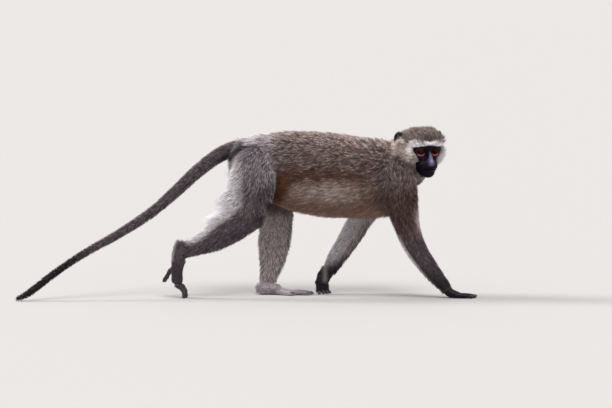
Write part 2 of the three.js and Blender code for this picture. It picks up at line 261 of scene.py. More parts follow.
def ball(p, middle, half):
    """Distance to an ellipsoid, nearly true close to its surface."""
    half = np.array(half, float)
    offset = p - np.array(middle, float)
    near = np.linalg.norm(offset / half, axis=-1)
    far = np.linalg.norm(offset / half**2, axis=-1)
    return near * (near - 1) / np.maximum(far, 1e-6)


def rod(p, start, end, r_start, r_end):
    """Distance to a rod with round ends, thinner or thicker at its far end."""
    start = np.array(start, float)
    line = np.array(end, float) - start
    share = np.clip((p - start) @ line / (line @ line), 0, 1)
    to_line = np.linalg.norm(p - start - share[..., None] * line, axis=-1)
    return to_line - (r_start + (r_end - r_start) * share)


def joined(distance, p, rows):
    """Blends more shapes in. A row holds the shape, how soft its join is, its place and sizes."""
    for shape, soft, *sizes in rows:
        distance = blend(distance, shape(p, *sizes), soft)
    return distance


# %% Places and sizes on the bare head
EYE_SIDE = EYE_APART / 2
LID_RADIUS = EYE_RADIUS + 1.7
LID_OPENING = (7.7, 4.9, 4.3)  # half width, and half heights above and below
NECK_BASE = to_head(np.array([[322.0, 0.0, 286.0]]))[0]
NECK_MIDDLE = to_head(np.array([[370.0, -12.0, 302.0]]))[0]
EAR_MIDDLE = to_head(node_middle("ear_left")[None])[0]
EAR_TURN = np.radians([-10.0, 12.0, -42.0])  # tilted in, leaning back, cupped to the front
CRANIUM = ((-38, 0, 3), (46, 36, 28))
CHEEKS_AND_JAW = (
    (ball, 10, (-13, 0, -4), (18, 33, 20)),
    (rod, 9, (-14, 6, -22), (7, 5, -29), 17.5, 13.5),
    (ball, 7, (8.5, 0, -31), (20.5, 20, 14)),
    (ball, 6, (3, 0, -45.5), (20, 17.5, 14.5)),
    (ball, 6, (12, 0, -49.5), (9.5, 11, 8.5)),
    (rod, 10, (-30, 12, -18), (-8, 12, -35), 19, 13),
)
BROW_AND_NOSE = (
    (rod, 6, (6.8, 0, 10.0), (4.6, 14, 11.0), 4.4, 4.4),
    (rod, 6, (4.6, 14, 11.0), (-2.0, 25, 8.5), 4.4, 4.2),
    (rod, 6, (-2.0, 25, 8.5), (-9, 31, 1), 4.2, 4.0),
    (ball, 8, (-6, 23, -10), (8, 8, 5)),
    (rod, 5, (4.0, 0, 5), (13, 0, -10), 4.0, 4.8),
    (rod, 5, (13, 0, -10), (22.5, 0, -20.5), 4.8, 5.6),
)
LIP_LINE = -35.5  # height where the lips meet at the middle


def turned(angles):
    """The matrix of turns about X, then Y, then Z."""
    (cx, cy, cz), (sx, sy, sz) = np.cos(angles), np.sin(angles)
    about_x = np.array([[1, 0, 0], [0, cx, -sx], [0, sx, cx]])
    about_y = np.array([[cy, 0, sy], [0, 1, 0], [-sy, 0, cy]])
    about_z = np.array([[cz, -sz, 0], [sz, cz, 0], [0, 0, 1]])
    return about_z @ about_y @ about_x


EAR_AXES = turned(EAR_TURN)


def ear_distance(p, hollow):
    """A round ear: a thin cup with a rolled rim and a fold inside it."""
    q = (p - EAR_MIDDLE) @ EAR_AXES
    ear = ball(q, (0, 0, 0), (13.2, 4.2, 16.6))
    if hollow:
        ear = carve(ear, ball(q, (2.0, 4.4, 0.5), (9.2, 5.4, 12.2)), 1.6)
        ear = blend(ear, rod(q, (-3.5, 0.4, -6), (-1.5, 0.6, 6), 1.7, 1.4), 1.5)
    return ear


# %% The head's bare shape
def head_distance(point, fine=True):
    """Distance in millimetres from the bare head's surface, for points in the head frame."""
    p = point.copy()
    p[..., 1] = np.abs(p[..., 1])
    x, y, z = p[..., 0], p[..., 1], p[..., 2]
    head = joined(ball(p, *CRANIUM), p, CHEEKS_AND_JAW)
    neck = rod(point, (-36, 0, -6), NECK_MIDDLE, 33, 35)
    neck = blend(neck, rod(point, NECK_MIDDLE, NECK_BASE, 35, 44), 16)
    head = blend(head, neck, 14)
    head = blend(head, rod(p, (-50, 24, 5), EAR_MIDDLE - (0, 3, 3), 12, 6), 8)
    # The sockets sink under a straight brow ridge, and the cheekbones rim them from below.
    # The nose ridge runs from between the eyes to the tip and widens on its way.
    head = carve(head, ball(p, (9, EYE_SIDE, 0.5), (10, 12, 8.5)), 5)
    head = joined(head, p, BROW_AND_NOSE)
    head = blend(head, ear_distance(p, hollow=fine), 2.5)
    if not fine:
        return head
    # Wings of the nose, and the slanting nostrils under them.
    head = blend(head, ball(p, (21.5, 5.4, -22.5), (5.0, 3.8, 3.8)), 3)
    slant = p.copy()
    slant[..., 1] = y - 0.5 * (z + 24.5)
    head = carve(head, ball(slant, (27.5, 4.4, -24.5), (4.6, 1.3, 2.3)), 1.4)
    # Full lips meet on a line that bows down to the corners of the mouth.
    off_line = z - (LIP_LINE - 0.008 * y**2)
    in_mouth = ramp(-2, 8, x) * ramp(0, 6, 20.5 - y)
    lips = bell(off_line, 3.0, 2.6) + bell(off_line, -3.2, 2.6)
    head = head - 0.9 * lips * in_mouth
    head = head + 1.9 * bell(off_line, 0, 0.9) * in_mouth
    # A shallow groove runs down from the nose, and a fold bounds each side of the nose ridge.
    groove = bell(y, 0, 1.3) * ramp(-34, -31, z) * ramp(-26, -28, z)
    head = head + 0.7 * groove * (x > 18)
    fold = bell(y - 9.5 + 0.14 * z, 0, 2.2)
    head = head + 0.7 * fold * ramp(-4, -10, z) * ramp(-30, -24, z) * (x > 2)
    # Lids lie on the eyeball and end in a rim, where the skin drops behind the eye.
    offset = p - np.array([0.0, EYE_SIDE, 0.0])
    reach = np.linalg.norm(offset, axis=-1)
    half_height = np.where(offset[..., 2] > 0, LID_OPENING[1], LID_OPENING[2])
    wide = np.abs(offset[..., 1] / LID_OPENING[0])
    high = np.abs((offset[..., 2] - 0.05 * offset[..., 1]) / half_height)
    opening = ((wide**1.8 + high**1.8) ** (1 / 1.8) - 1) * half_height
    rim = 0.5 * bell(opening, 1.2, 1.0)
    head = blend(head, reach - LID_RADIUS - rim, 2.0)
    in_front = ramp(0, 3, offset[..., 0]) * ramp(15, 12, reach)
    head = head + 0.7 * bell(opening, 4.0, 0.8) * in_front
    behind_eye = reach - EYE_RADIUS + 1.4
    return head + (behind_eye - head) * ramp(0.5, -0.9, opening) * in_front


print("depth of bone and flesh between the eyes:", head_distance(np.zeros((1, 3))).round(1), "mm")

# %% [markdown]
# ## One skin
# A real animal has one skin from nose to tail, with no seam at neck or shoulder. The frame's
# solids meet with hairline gaps, so each is swollen by half a millimetre and all are melted
# together by a voxel remesh, as if the parts were dipped in wax. Voxels small enough for
# fingers would be wasteful under fur, so there the skin is thinned, and the face is made finer.

# %% Melt the parts into one skin
SWELL = 0.5  # mm, closes the gaps between the frame's solids
VOXEL = 1.4  # mm, a third of a finger's radius
FLESH = [name for name in sorted(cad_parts) if not name.startswith("eye")]


def kind(name):
    return name.replace("_right", "").replace("_left", "")


def merged_node(name):
    """A node's points, each once, and its triangles."""
    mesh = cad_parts[name].data
    points, index = np.unique(np.round(mesh_points(mesh), 3), axis=0, return_inverse=True)
    return points, index.reshape(-1)[mesh_triangles(mesh)]


def filled_node(name):
    """A node as it is, but an ear as its hull, because its cup is too thin for the voxels."""
    if kind(name) != "ear":
        return merged_node(name)
    shape = bmesh.new()
    for point in merged_node(name)[0]:
        shape.verts.new(point)
    hull = bmesh.ops.convex_hull(shape, input=shape.verts)
    bmesh.ops.delete(shape, geom=hull["geom_interior"], context="VERTS")
    bmesh.ops.triangulate(shape, faces=shape.faces)
    shape.verts.index_update()
    points = np.array([vert.co for vert in shape.verts])
    faces = np.array([[vert.index for vert in face.verts] for face in shape.faces])
    shape.free()
    return points, faces


def melt():
    pieces = []
    for name in FLESH:
        points, faces = filled_node(name)
        pieces.append((points + SWELL * point_normals(points, faces), faces))
    piece = make_mesh("skin", *stacked(pieces))
    return modified(piece, "REMESH", mode="VOXEL", voxel_size=VOXEL * MM)


skin = melt()
print("melted skin:", len(skin.data.polygons), "faces")

# %% Coarser under the fur, finer on the face
FACE_ZONE = ((-14, -42, -62), (60, 42, 23))  # corners, in the head frame
HEAD_ZONE = ((-50, -60, -66), (60, 60, 45))  # leaves out the back of the skull, under thick fur
EYE_ZONE = 11.5  # mm from the middle of an eye
FINE_NODES = [name for name in FLESH if kind(name) in ("hand", "foot", "ear")]
MARGIN = Vector((MM, MM, MM))
FURRED_TRIANGLES = 52000  # what the furred parts are thinned to
FINE_TRIANGLES = 66000  # and the finer ones, before the face is split again
FACET_SMOOTHING = 50  # rounds, enough to lose the solids' facets and keep a thin tail


def inside_box(points, low, high):
    return np.all((points > np.array(low)) & (points < np.array(high)), axis=1)


def fine_points(piece):
    """Which points lie on the head, hands, feet and ears."""
    points = mesh_points(piece.data)
    fine = inside_box(to_head(points), *HEAD_ZONE)
    for name in FINE_NODES:
        low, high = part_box(name)
        fine |= inside_box(in_metres(points), low - MARGIN, high + MARGIN)
    return fine


def thin(piece, chosen, kept):
    """Merges small triangles round the chosen points until only so many are left there."""
    faces = mesh_triangles(piece.data)
    inside = chosen[faces].all(axis=1).sum()
    ratio = (len(faces) - inside + kept) / len(faces)
    modified(piece, "DECIMATE", chosen, ratio=ratio, vertex_group_factor=1000)


def refine(piece, chosen):
    """Splits the edges between the chosen points in two."""
    mesh = bmesh.new()
    mesh.from_mesh(piece.data)
    edges = [e for e in mesh.edges if chosen[e.verts[0].index] and chosen[e.verts[1].index]]
    bmesh.ops.subdivide_edges(mesh, edges=edges, cuts=1, use_grid_fill=True)
    bmesh.ops.triangulate(mesh, faces=mesh.faces)
    mesh.to_mesh(piece.data)
    mesh.free()


def eye_distance(points):
    """Millimetres from the middle of the nearer eye."""
    return np.min([np.linalg.norm(points - eye, axis=1) for eye in (EYE_RIGHT, EYE_LEFT)], axis=0)


modified(skin, "SMOOTH", ~fine_points(skin), iterations=FACET_SMOOTHING)
thin(skin, ~fine_points(skin), FURRED_TRIANGLES)
thin(skin, fine_points(skin), FINE_TRIANGLES)
refine(skin, inside_box(to_head(mesh_points(skin.data)), *FACE_ZONE))
refine(skin, eye_distance(mesh_points(skin.data)) < EYE_ZONE)
skin_faces = mesh_triangles(skin.data)
skin_points = mesh_points(skin.data)
print("skin:", len(skin_points), "points,", len(skin_faces), "triangles")

# %% [markdown]
# ## Which part is it, and how deep is the coat there?
# Every point of the skin takes the name of the nearest solid. A depth of coat is given for each
# part, softened over the borders, and the skin sinks by it, because the solids reach out to the
# tips of the hair. The facets of the solids are smoothed away on the way.

# %% Spread values over the skin
pairs = np.vstack([skin_faces[:, [0, 1]], skin_faces[:, [1, 2]], skin_faces[:, [2, 0]]])
skin_edges = np.unique(np.sort(pairs, axis=1), axis=0)
neighbours = np.bincount(skin_edges.ravel(), minlength=len(skin_points))


def spread(values, rounds, share=0.5):
    """Moves each point's values towards the mean of its neighbours', round after round."""
    shape, count = values.shape, len(values)
    values = values.astype(float).reshape(count, -1)
    share = np.broadcast_to(np.asarray(share, float), count)[:, None]
    first, second = skin_edges.T
    for _ in range(rounds):
        total = summed(first, values[second], count) + summed(second, values[first], count)
        values += share * (total / neighbours[:, None] - values)
    return values.reshape(shape)


print("edges:", len(skin_edges))


# %% Name the parts
def nearest_parts(points):
    """For each point the index of the nearest part, and a search tree of all the solids."""
    nodes = [merged_node(name) for name in FLESH]
    owner = np.repeat(np.arange(len(FLESH)), [len(faces) for _, faces in nodes])
    corners, faces = stacked(nodes)
    tree = BVHTree.FromPolygons(corners.tolist(), faces.tolist())
    found = [tree.find_nearest(point)[2] for point in points.tolist()]
    return owner[np.array(found)], tree


def named(*kinds, side=""):
    """Which parts are of these kinds, and on this side."""
    return np.array([kind(name) in kinds and name.endswith(side) for name in FLESH])


def faded(rounds, *kinds):
    """1 on parts of these kinds and 0 on others, softened over so many rounds."""
    return spread(named(*kinds)[part_of], rounds)


def per_part(table):
    return np.array([table[kind(name)] for name in FLESH], float)


part_of, solids_tree = nearest_parts(skin_points)
print("points:", dict(zip(FLESH, np.bincount(part_of).tolist())))

# %% Sink the skin by the depth of the coat
COAT_DEPTH = {
    "trunk": 10.5, "neck": 11.5, "head": 0.0, "ear": 0.0,
    "upper_arm": 7.5, "forearm": 4.5, "hand": 0.5,
    "thigh": 8.5, "shank": 5.0, "foot": 0.6,
    "tail_root": 4.5, "tail_upper": 3.6, "tail_lower": 3.2, "tail_tip": 2.8,
}  # fmt: skip
DIGITS_BELOW = 45  # mm above the floor: palms and soles are smoothed above it, digits are not

in_hand_or_foot = named("hand", "foot")[part_of]
above_digits = in_hand_or_foot & (skin_points[:, 2] >= DIGITS_BELOW)
skin_points = spread(skin_points, 6, 0.5 * in_hand_or_foot)
skin_points = spread(skin_points, 30, 0.5 * above_digits)
depth = spread(per_part(COAT_DEPTH)[part_of], 10)
wide_part = ramp(0.3, 1.0, faded(3, "trunk", "neck", "thigh", "upper_arm"))
for _ in range(3):
    skin_points -= point_normals(skin_points, skin_faces) * depth[:, None] / 3
    skin_points = spread(skin_points, 3, 0.1 + 0.35 * wide_part)


def fill_creases(points, rounds, share):
    """Raises the hollows between parts, as loose skin bridges a shoulder and a neck."""
    for _ in range(rounds):
        normals = point_normals(points, skin_faces)
        lift = ((spread(points, 1, share) - points) * normals).sum(-1)
        points = points + np.maximum(lift, 0)[:, None] * normals
    return points


skin_points = fill_creases(skin_points, 14, 0.9 * wide_part)
skin_points = spread(skin_points, 2, 0.5 * wide_part)
print("deepest coat:", round(depth.max(), 1), "mm")

# %% [markdown]
# ## The face
# The head's points are first drawn straight in towards the middle of the skull, to where each
# line of sight from outside first meets the bare head. Then each point slides along the steepest
# way to where the distance is exactly zero. Between slides the points relax over the surface, so
# that they stay evenly spread, and lids, lips and nostrils come out crisp.

# %% Draw the head in
SKULL_MIDDLE = np.array([-30.0, 0.0, -8.0])
SHORTEST_STEP, LONGEST_STEP = 0.2, 8.0  # mm along a line of sight
NEAR_ENOUGH = 0.3  # mm from the bare head


def drawn_in(points):
    """Points moved towards the middle of the skull until they meet the bare head."""
    sight = unit(points - SKULL_MIDDLE)
    reach = np.linalg.norm(points - SKULL_MIDDLE, axis=1)
    waiting = np.arange(len(points))
    while len(waiting):
        spots = SKULL_MIDDLE + sight[waiting] * reach[waiting, None]
        distance = head_distance(spots, fine=False)
        far = distance > NEAR_ENOUGH
        waiting, distance = waiting[far], distance[far]
        reach[waiting] -= np.clip(distance * 0.7, SHORTEST_STEP, LONGEST_STEP)
        waiting = waiting[reach[waiting] > 1]
    return SKULL_MIDDLE + sight * reach[:, None]


only_head = ramp(0.25, 0.9, faded(8, "head"))
on_skull = np.flatnonzero(only_head > 0.001)
target = from_head(drawn_in(to_head(skin_points[on_skull])))
skin_points[on_skull] = mix(skin_points[on_skull], target, only_head[on_skull])
near_ear = faded(7, "ear")
skin_points = spread(skin_points, 14, 2 * near_ear * (1 - near_ear))
print("drawn in:", len(on_skull), "points")

# %% Slide it onto its true shape
ROUNDS = 7
FIRST_SLIDES = 5  # the first round has farthest to go


def slide(points, weight, rounds, step=0.25):
    """Moves points along the steepest way to where the bare head's distance is zero."""
    for _ in range(rounds):
        distance = head_distance(points)
        slopes = [(head_distance(points + step * axis) - distance) / step for axis in np.eye(3)]
        slope = np.stack(slopes, axis=-1)
        size = np.maximum((slope**2).sum(-1), 0.3)
        move = np.clip(distance / size, -2, 2)
        points = points - 0.8 * (weight * move)[:, None] * slope
    return points


head_weight = ramp(0.15, 0.9, faded(12, "head", "ear"))
on_head = np.flatnonzero(head_weight > 0.001)
for turn_count in range(ROUNDS):
    relaxed = spread(skin_points, 3, 0.5 * head_weight)
    normals = point_normals(skin_points, skin_faces)
    shift = relaxed - skin_points
    skin_points += shift - (shift * normals).sum(-1, keepdims=True) * normals
    slides = FIRST_SLIDES if turn_count == 0 else 1
    head_points = slide(to_head(skin_points[on_head]), head_weight[on_head], slides)
    skin_points[on_head] = from_head(head_points)
lid_part = ramp(EYE_ZONE, EYE_ZONE - 2, eye_distance(skin_points))
skin_points = spread(skin_points, 3, 0.4 * lid_part)
neck_part = 4 * head_weight * (1 - head_weight)
skin_points = spread(skin_points, 8, 0.5 * neck_part)
skin_normals = point_normals(skin_points, skin_faces)
skin.data.vertices.foreach_set("co", in_metres(skin_points).astype(np.float32).ravel())
skin.data.update()
print("head points:", len(on_head))

# %% [markdown]
# ## How thick the coat may be
# The solids of the frame reach out to the tips of the hair. From each point of the skin a ray
# goes straight out to them, and its length is the depth that the coat must fill there.

# %% Depth of the coat, measured
LONGEST_COAT = 34.0  # mm
part_share = spread(np.eye(len(FLESH))[part_of], 7)


def gap_to_solids(points, normals):
    gaps = np.full(len(points), np.nan)
    for index, (point, normal) in enumerate(zip(points.tolist(), normals.tolist())):
        distance = solids_tree.ray_cast(Vector(point), Vector(normal), LONGEST_COAT)[3]
        if distance is not None:
            gaps[index] = distance
    return gaps


coat_gap = gap_to_solids(skin_points, skin_normals)
coat_gap = np.where(np.isnan(coat_gap), part_share @ per_part(COAT_DEPTH), coat_gap)
coat_gap = spread(coat_gap, 8)
print("coat depth from", round(coat_gap.min(), 1), "to", round(coat_gap.max(), 1), "mm")

# %% [markdown]
# ## Where each kind of hair grows
# Shares say how much a point belongs to a part, and they fade from one part into the next.
# A few more zones matter to length, lie and colour alike: the brush of hair at the corners of
# the cap, and the white fringe behind the near thigh.

# %% Zones
def share_of(shares, *kinds, side=""):
    """How much points belong to parts of these kinds, on this side."""
    return shares[:, named(*kinds, side=side)].sum(axis=1)


def cap_corner(q):
    """Where the cap is brushed out widest, in the head frame."""
    return bell(np.abs(q[:, 1]), 31, 16) * bell(q[:, 2], 37, 19) * ramp(-100, -76, q[:, 0])


# The lower edge of the white: heights at places along X, in the body frame.
WHITE_EDGE = ((-116, -93, -64, -32, -19), (126, 140, 166, 186, 200))


def seat_white(points):
    """1 at the white back of the thighs and along the calf, 0 where the grey begins."""
    x, z = points[:, 0], points[:, 2]
    edge = np.interp(x, *WHITE_EDGE)
    return ramp(0, -26, x) * ramp(edge - 9, edge + 9, z)


def fringe(points, normals, shares):
    """The long wisps that stand off behind the thighs."""
    level = ramp(160, 182, points[:, 2]) * ramp(256, 230, points[:, 2])
    backwards = ramp(0.25, 0.7, -normals[:, 0])
    return level * backwards * share_of(shares, "thigh", "shank", "trunk") * seat_white(points)


# %% [markdown]
# ## The lie of the coat
# Fur grows like grass in a steady wind. It runs from the face back over the crown, along the back
# to the tail, and down each limb to the fingers. Each part gets one heading, the head a fan of
# them, and spreading them over the skin makes the streams flow into each other.

# %% Headings of the hair
LIE = {
    "trunk": (-1, 0, -0.3), "neck": (-0.75, 0, -0.65), "head": (-1, 0, 0),
    "upper_arm_right": (0.0, 0, -1), "forearm_right": (0.58, 0, -0.81), "hand_right": (1, 0, -0.2),
    "upper_arm_left": (-0.4, 0, -0.9), "forearm_left": (-0.52, 0, -0.85), "hand_left": (-0.2, 0, -1),
    "thigh_right": (-0.35, 0, -1), "shank_right": (-0.88, 0, -0.47), "foot_right": (-0.1, 0, -1),
    "thigh_left": (0.25, 0, -0.97), "shank_left": (-0.2, 0, -0.98), "foot_left": (1, 0, -0.2),
}  # fmt: skip


def lie_of(name):
    """A part's heading. The tail's lengths point from their upper to their lower corner."""
    if name.startswith("tail"):
        low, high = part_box(name)
        return unit(np.array(low - high))
    if name.startswith("ear"):
        return np.array([0.0, 0.0, 1.0])
    return unit(np.array(LIE[name], float))


def head_lie(q):
    """Out from the middle of the face, then back over the skull, in the head frame."""
    out = q - np.array([0.0, 0.0, -10.0])
    out[:, 0] = 0
    back = ramp(-5, -45, q[:, 0])
    above = ramp(12, 20, q[:, 2])
    heading = unit(out) * (1.1 - 0.9 * back)[:, None]
    heading[:, 0] -= 0.35 + back * (1 - 0.5 * above)
    heading[:, 2] -= 0.7 * ramp(0, -30, q[:, 2])
    heading[:, 2] -= 0.35 * back * (1 - above)
    return unit(heading)


in_head = named("head")[part_of]
flow = np.array([lie_of(name) for name in FLESH])[part_of]
flow[in_head] = head_lie(to_head(skin_points[in_head])) @ HEAD_AXES
flow += fringe(skin_points, skin_normals, part_share)[:, None] * np.array([-2.0, 0, 0.2])
flow += 0.22 * np.stack([waves(skin_points, 60, seed) for seed in (1, 2, 3)], axis=1)
flow = spread(flow, 14)
flow -= (flow * skin_normals).sum(-1, keepdims=True) * skin_normals
flow = unit(flow)
print("mean heading:", flow.mean(axis=0).round(2))

# %% [markdown]
# ## Markings, with painted light and shade
# One function says what colour the coat has at any point, and both the skin and the tufts ask
# it, so they always agree. It looks at which part the point is on, how high it lies and which
# way it faces: grizzled olive grey above, warmer on the flank, pale beneath and on the inner
# sides of the limbs, white round the face and black on face, hands and feet. Part of that colour
# is painted light: painted shade down the lower sides and on the flank, in the groin, on the far
# thigh's inner side, under the tail's root, over the brow and on the near cheek, a painted sheen
# on the rump, and a painted highlight on top of the cap's corners.

# %% Where the bare face ends
MASK_HEIGHTS = [-66, -61, -53, -43, -35, -28, -23, -17, -8, 0, 5, 8, 10.5, 12.5, 14]
MASK_HALF_WIDTHS = [0, 11, 19, 25, 27, 25, 21, 22, 29, 33.5, 34, 30, 22, 11, 0]


def mask_edge(q):
    """Millimetres outside the bare mask, negative within it, in the head frame."""
    qx, qy, qz = q.T
    half = np.interp(qz, MASK_HEIGHTS, MASK_HALF_WIDTHS)
    aside = np.abs(qy) - half
    above = qz - 13.5
    behind = np.where(qz < -24, -12.0, -21.0) - qx
    return np.maximum(np.maximum(aside, above), behind)


# %% Colours of the coat
# Some of these colours carry painted light: the flank's brown and the groin's rusty brown are darkened
# as painted shade, the rump's violet grey is lightened partly as painted sheen and top light, and the
# cheek's beige grey is partly painted shade, on the near cheek.
COLOURS = {
    "back": "#7d6a66", "rump": "#a89aa2", "flank": "#543423", "belly": "#947567",
    "belly_light": "#cdb3a9", "rust": "#6d3f16", "arm": "#523d37", "limb": "#5e5259",
    "thigh": "#786c72", "knee": "#564a50", "shank": "#5f535b", "pale": "#d5c3c4",
    "white": "#fbf5fa", "cheek": "#c6b3ab", "throat": "#cfbdb6", "black": "#1b151e",
    "tail": "#63585f", "tail_tip": "#1d161b", "crown": "#463b38", "foot_far": "#bfb2bb",
    "ear": "#161016",
}  # fmt: skip
COLOURS = {name: linear(code) for name, code in COLOURS.items()}
ARM = ("upper_arm", "forearm")
LEG = ("thigh", "shank")
TAIL = ("tail_root", "tail_upper", "tail_lower", "tail_tip")
WANDER = 26  # mm, how long the waves are in the borders between colours
# Heights in mm of the borders between colours, at places along X.
FLANK_TOP = ((60, 150, 250, 330), (304, 312, 298, 246))
BELLY_TOP = ((70, 120, 240, 300, 350), (254, 262, 244, 216, 192))
THIGH_FRONT = ((180, 187, 212, 228, 243, 290), (28, 39, 55, 63, 68, 76))  # X at places along Z
WHITE_TOP = ((-80, -50, -30, -15, 10), (16, 14, 9, 10.5, 21.5))  # head frame
CHEEK_LOW = ((-95, -55, -22, 0), (8, -15, -34, -42))  # head frame


# %% Markings and painted light
def markings(points, normals, shares):
    """Colour and grizzle (0 plain, 1 strong) of the coat at each point, painted light and shade
    included.
    """
    # X and Z are in the body frame, q in the head frame, all in millimetres.
    x, _, z = points.T
    q = to_head(points)
    qx, qy, qz = q.T
    nx, ny, nz = normals.T
    wander = waves(points, WANDER, 11)
    wavy = z + 6 * wander
    colour = np.tile(COLOURS["back"], (len(points), 1))
    grizzle = np.full(len(points), 1.0)

    def on(*kinds, side=""):
        return share_of(shares, *kinds, side=side)

    def near(*kinds):
        return on(*kinds, side="right")

    def far(*kinds):
        return on(*kinds, side="left")

    def facing(start, end, *direction):
        return ramp(start, end, normals @ unit(np.array(direction)))

    def lay(name, share, strength):
        nonlocal colour, grizzle
        share = np.clip(share, 0, 1)
        colour = mix(colour, COLOURS[name], share)
        grizzle = grizzle + (strength - grizzle) * share

    # Trunk: violet-grey rump, warm flank, cream belly, and painted shade that darkens the sides below
    # the back, most on the neck and the chest.
    neck = on("neck")
    # Painted shade: trunk and neck darken down their sides, below the back, as under a light from
    # above.
    lay("arm", (0.5 + 0.45 * neck) * (ramp(345, 290, wavy) * on("trunk", "neck")), 1.0)
    # The violet grey on top of the rump is partly the hair's own grey and partly painted sheen and top
    # light.
    lay("rump", ramp(85, 10, x + 8 * wander) * ramp(270, 310, z), 0.9)
    # The flank's own warm brown, darkened as painted shade.
    flank_top = np.interp(x, *FLANK_TOP)
    lay("flank", ramp(flank_top, flank_top - 50, wavy), 0.8)
    belly_top = np.interp(x, *BELLY_TOP)
    lay("belly", ramp(belly_top + 12, belly_top - 24, wavy), 0.4)
    patch = bell(x, 186, 70) * ramp(272, 246, wavy) * ramp(206, 236, z)
    lay("belly_light", patch, 0.8)
    # Painted shade on the lower front of the trunk, by the shoulder.
    lay("arm", ramp(295, 340, x) * ramp(290, 230, z) * on("trunk"), 0.8)
    lay("back", neck * ramp(290, 350, z), 1.0)
    throat = ramp(-42, -20, qx) * ramp(225, 250, z)
    lay("throat", neck * throat, 0.2)
    # Limbs: grizzled outside, pale inside and along their trailing edges.
    lay("arm", on("upper_arm") * ramp(275, 215, z), 0.9)
    lay("limb", on("forearm"), 0.8)
    lay("thigh", on("thigh"), 0.9)
    # The top of the thigh takes the same violet grey, partly painted sheen and top light.
    lay("rump", on("thigh") * ramp(225, 285, z) * 0.9, 0.9)
    front_of_knee = ramp(0, 45, x) * ramp(270, 225, z)
    lay("knee", near(*LEG) * front_of_knee, 0.9)
    lay("shank", on("shank"), 0.8)
    for side, sign in (("right", 1), ("left", -1)):
        inner = ramp(0.1, 0.8, sign * ny)
        lay("pale", on(*ARM, side=side) * inner * 0.8, 0.2)
        lay("pale", on(*LEG, side=side) * inner * 0.85, 0.2)
    seat = seat_white(points) * ramp(335, 300, z)
    lay("pale", seat * on("trunk", *LEG), 0.25)
    behind = ramp(-0.2, 0.4, -nx) * ramp(312, 270, z)
    lay("white", seat * behind * on("trunk", *LEG), 0.05)
    lay("white", facing(-0.3, 0.45, -0.85, -0.15, 0.4) * far(*ARM) * 0.9, 0.1)
    lay("white", facing(0.45, 0.8, -0.8, 0.1, -0.55) * near("forearm"), 0.1)
    leading = facing(0.4, 0.8, 0.95, -0.1, 0.3) * near("upper_arm")
    lay("pale", leading * ramp(215, 170, z), 0.1)
    # Groin: a rusty brown fold between the belly and the front edge of the near thigh, darkened as
    # painted shade, with a black crease of painted shade along the thigh's front edge.
    near_side = ramp(0.6, 0.1, ny)
    ahead = x - np.interp(z, *THIGH_FRONT)
    groin = ramp(-2, 4, ahead) * ramp(34, 18, ahead)
    groin *= ramp(292, 262, z) * ramp(192, 208, z) * near_side
    lay("rust", groin, 0.4)
    far_leg = far(*LEG)
    # Painted shade: a dark crease along the front edge of the near thigh.
    crease_shade = bell(ahead, 1, 4.5) * ramp(300, 262, z) * near_side
    lay("black", 0.6 * crease_shade * (1 - far_leg), 0.3)
    # Painted shade on the inner side of the far thigh, above the knee.
    outside = ramp(0.3, -0.3, ny)
    lay("arm", far_leg * ramp(165, 195, z) * outside * 0.85, 0.4)
    # Hands: black, and the wrists darken towards them. The far one has a pale stripe.
    lay("black", ramp(85, 25, z) * near("forearm") * 0.9, 0.3)
    lay("black", near("hand"), 0.15)
    lay("limb", 0.6 * (ramp(0.1, 0.9, nx) * far("forearm")), 0.6)
    cuff = ramp(94, 48, z - 0.45 * (x - 190) + 4 * wander)
    lay("black", cuff * far("forearm", "hand"), 0.2)
    stripe = bell(x, 177, 5) * ramp(20, 36, z) * ramp(-0.1, -0.6, ny)
    lay("pale", 0.45 * stripe * far("hand"), 0.2)
    # Feet: the near one dark with a pale rim behind the heel, the far one pale.
    near_foot, far_foot = near("foot"), far("foot")
    lay("shank", near_foot, 0.6)
    lay("black", near_foot * ramp(110, 40, z) * 0.5, 0.3)
    heel_edge = ramp(0.45, 0.85, -nx) * ramp(75, 95, z)
    lay("pale", near_foot * heel_edge * 0.7, 0.2)
    lay("foot_far", far_foot, 0.3)
    lay("black", far_foot * ramp(90, 130, x) * 0.3, 0.3)
    # Tail: slate grey, black towards the tip, with painted shade on the underside of its root and a
    # dark wedge in front of it.
    tail = on(*TAIL)
    lay("tail", tail, 0.9)
    lay("tail_tip", tail * ramp(-320, -410, x), 0.3)
    # Painted shade: the downward-facing side of the tail's root is darkened.
    tail_root_shade = ramp(0.1, -0.6, nz) * ramp(-75, -40, x)
    lay("tail_tip", tail_root_shade * tail, 0.2)
    along_wedge = np.clip(((x + 8) * -0.71 + (z - 334) * -0.71) / 38, 0, 1)
    off_wedge = np.hypot(x + 8 + 27 * along_wedge, z - 334 + 27 * along_wedge)
    lay("black", bell(off_wedge, 0, 8.0), 0.1)
    # Head: grizzled cap, white brow, and cheeks that go from white to beige grey, the near cheek's
    # beige partly painted shade.
    head = on("head", "ear")
    lay("crown", head, 1.0)
    lay("back", head * ramp(-45, -70, qx), 0.9)
    white_top = np.interp(qx, *WHITE_TOP)
    below_cap = ramp(white_top + 1.0, white_top - 1.4, qz + 0.4 * wander)
    # Painted shade: the front of the cap is darker just over the white brow.
    brow_shade = ramp(white_top + 17, white_top + 3, qz) * ramp(-50, -15, qx)
    lay("arm", 0.6 * head * brow_shade, 0.8)
    cheek_low = np.interp(qx, *CHEEK_LOW)
    cheek = below_cap * ramp(cheek_low - 4, cheek_low + 6, qz + 2 * wander)
    lay("cheek", cheek * (head + neck) * ramp(-95, -75, qx), 0.3)
    near_mask = ramp(15, 2, mask_edge(q)) * ramp(-30, 4, qz)
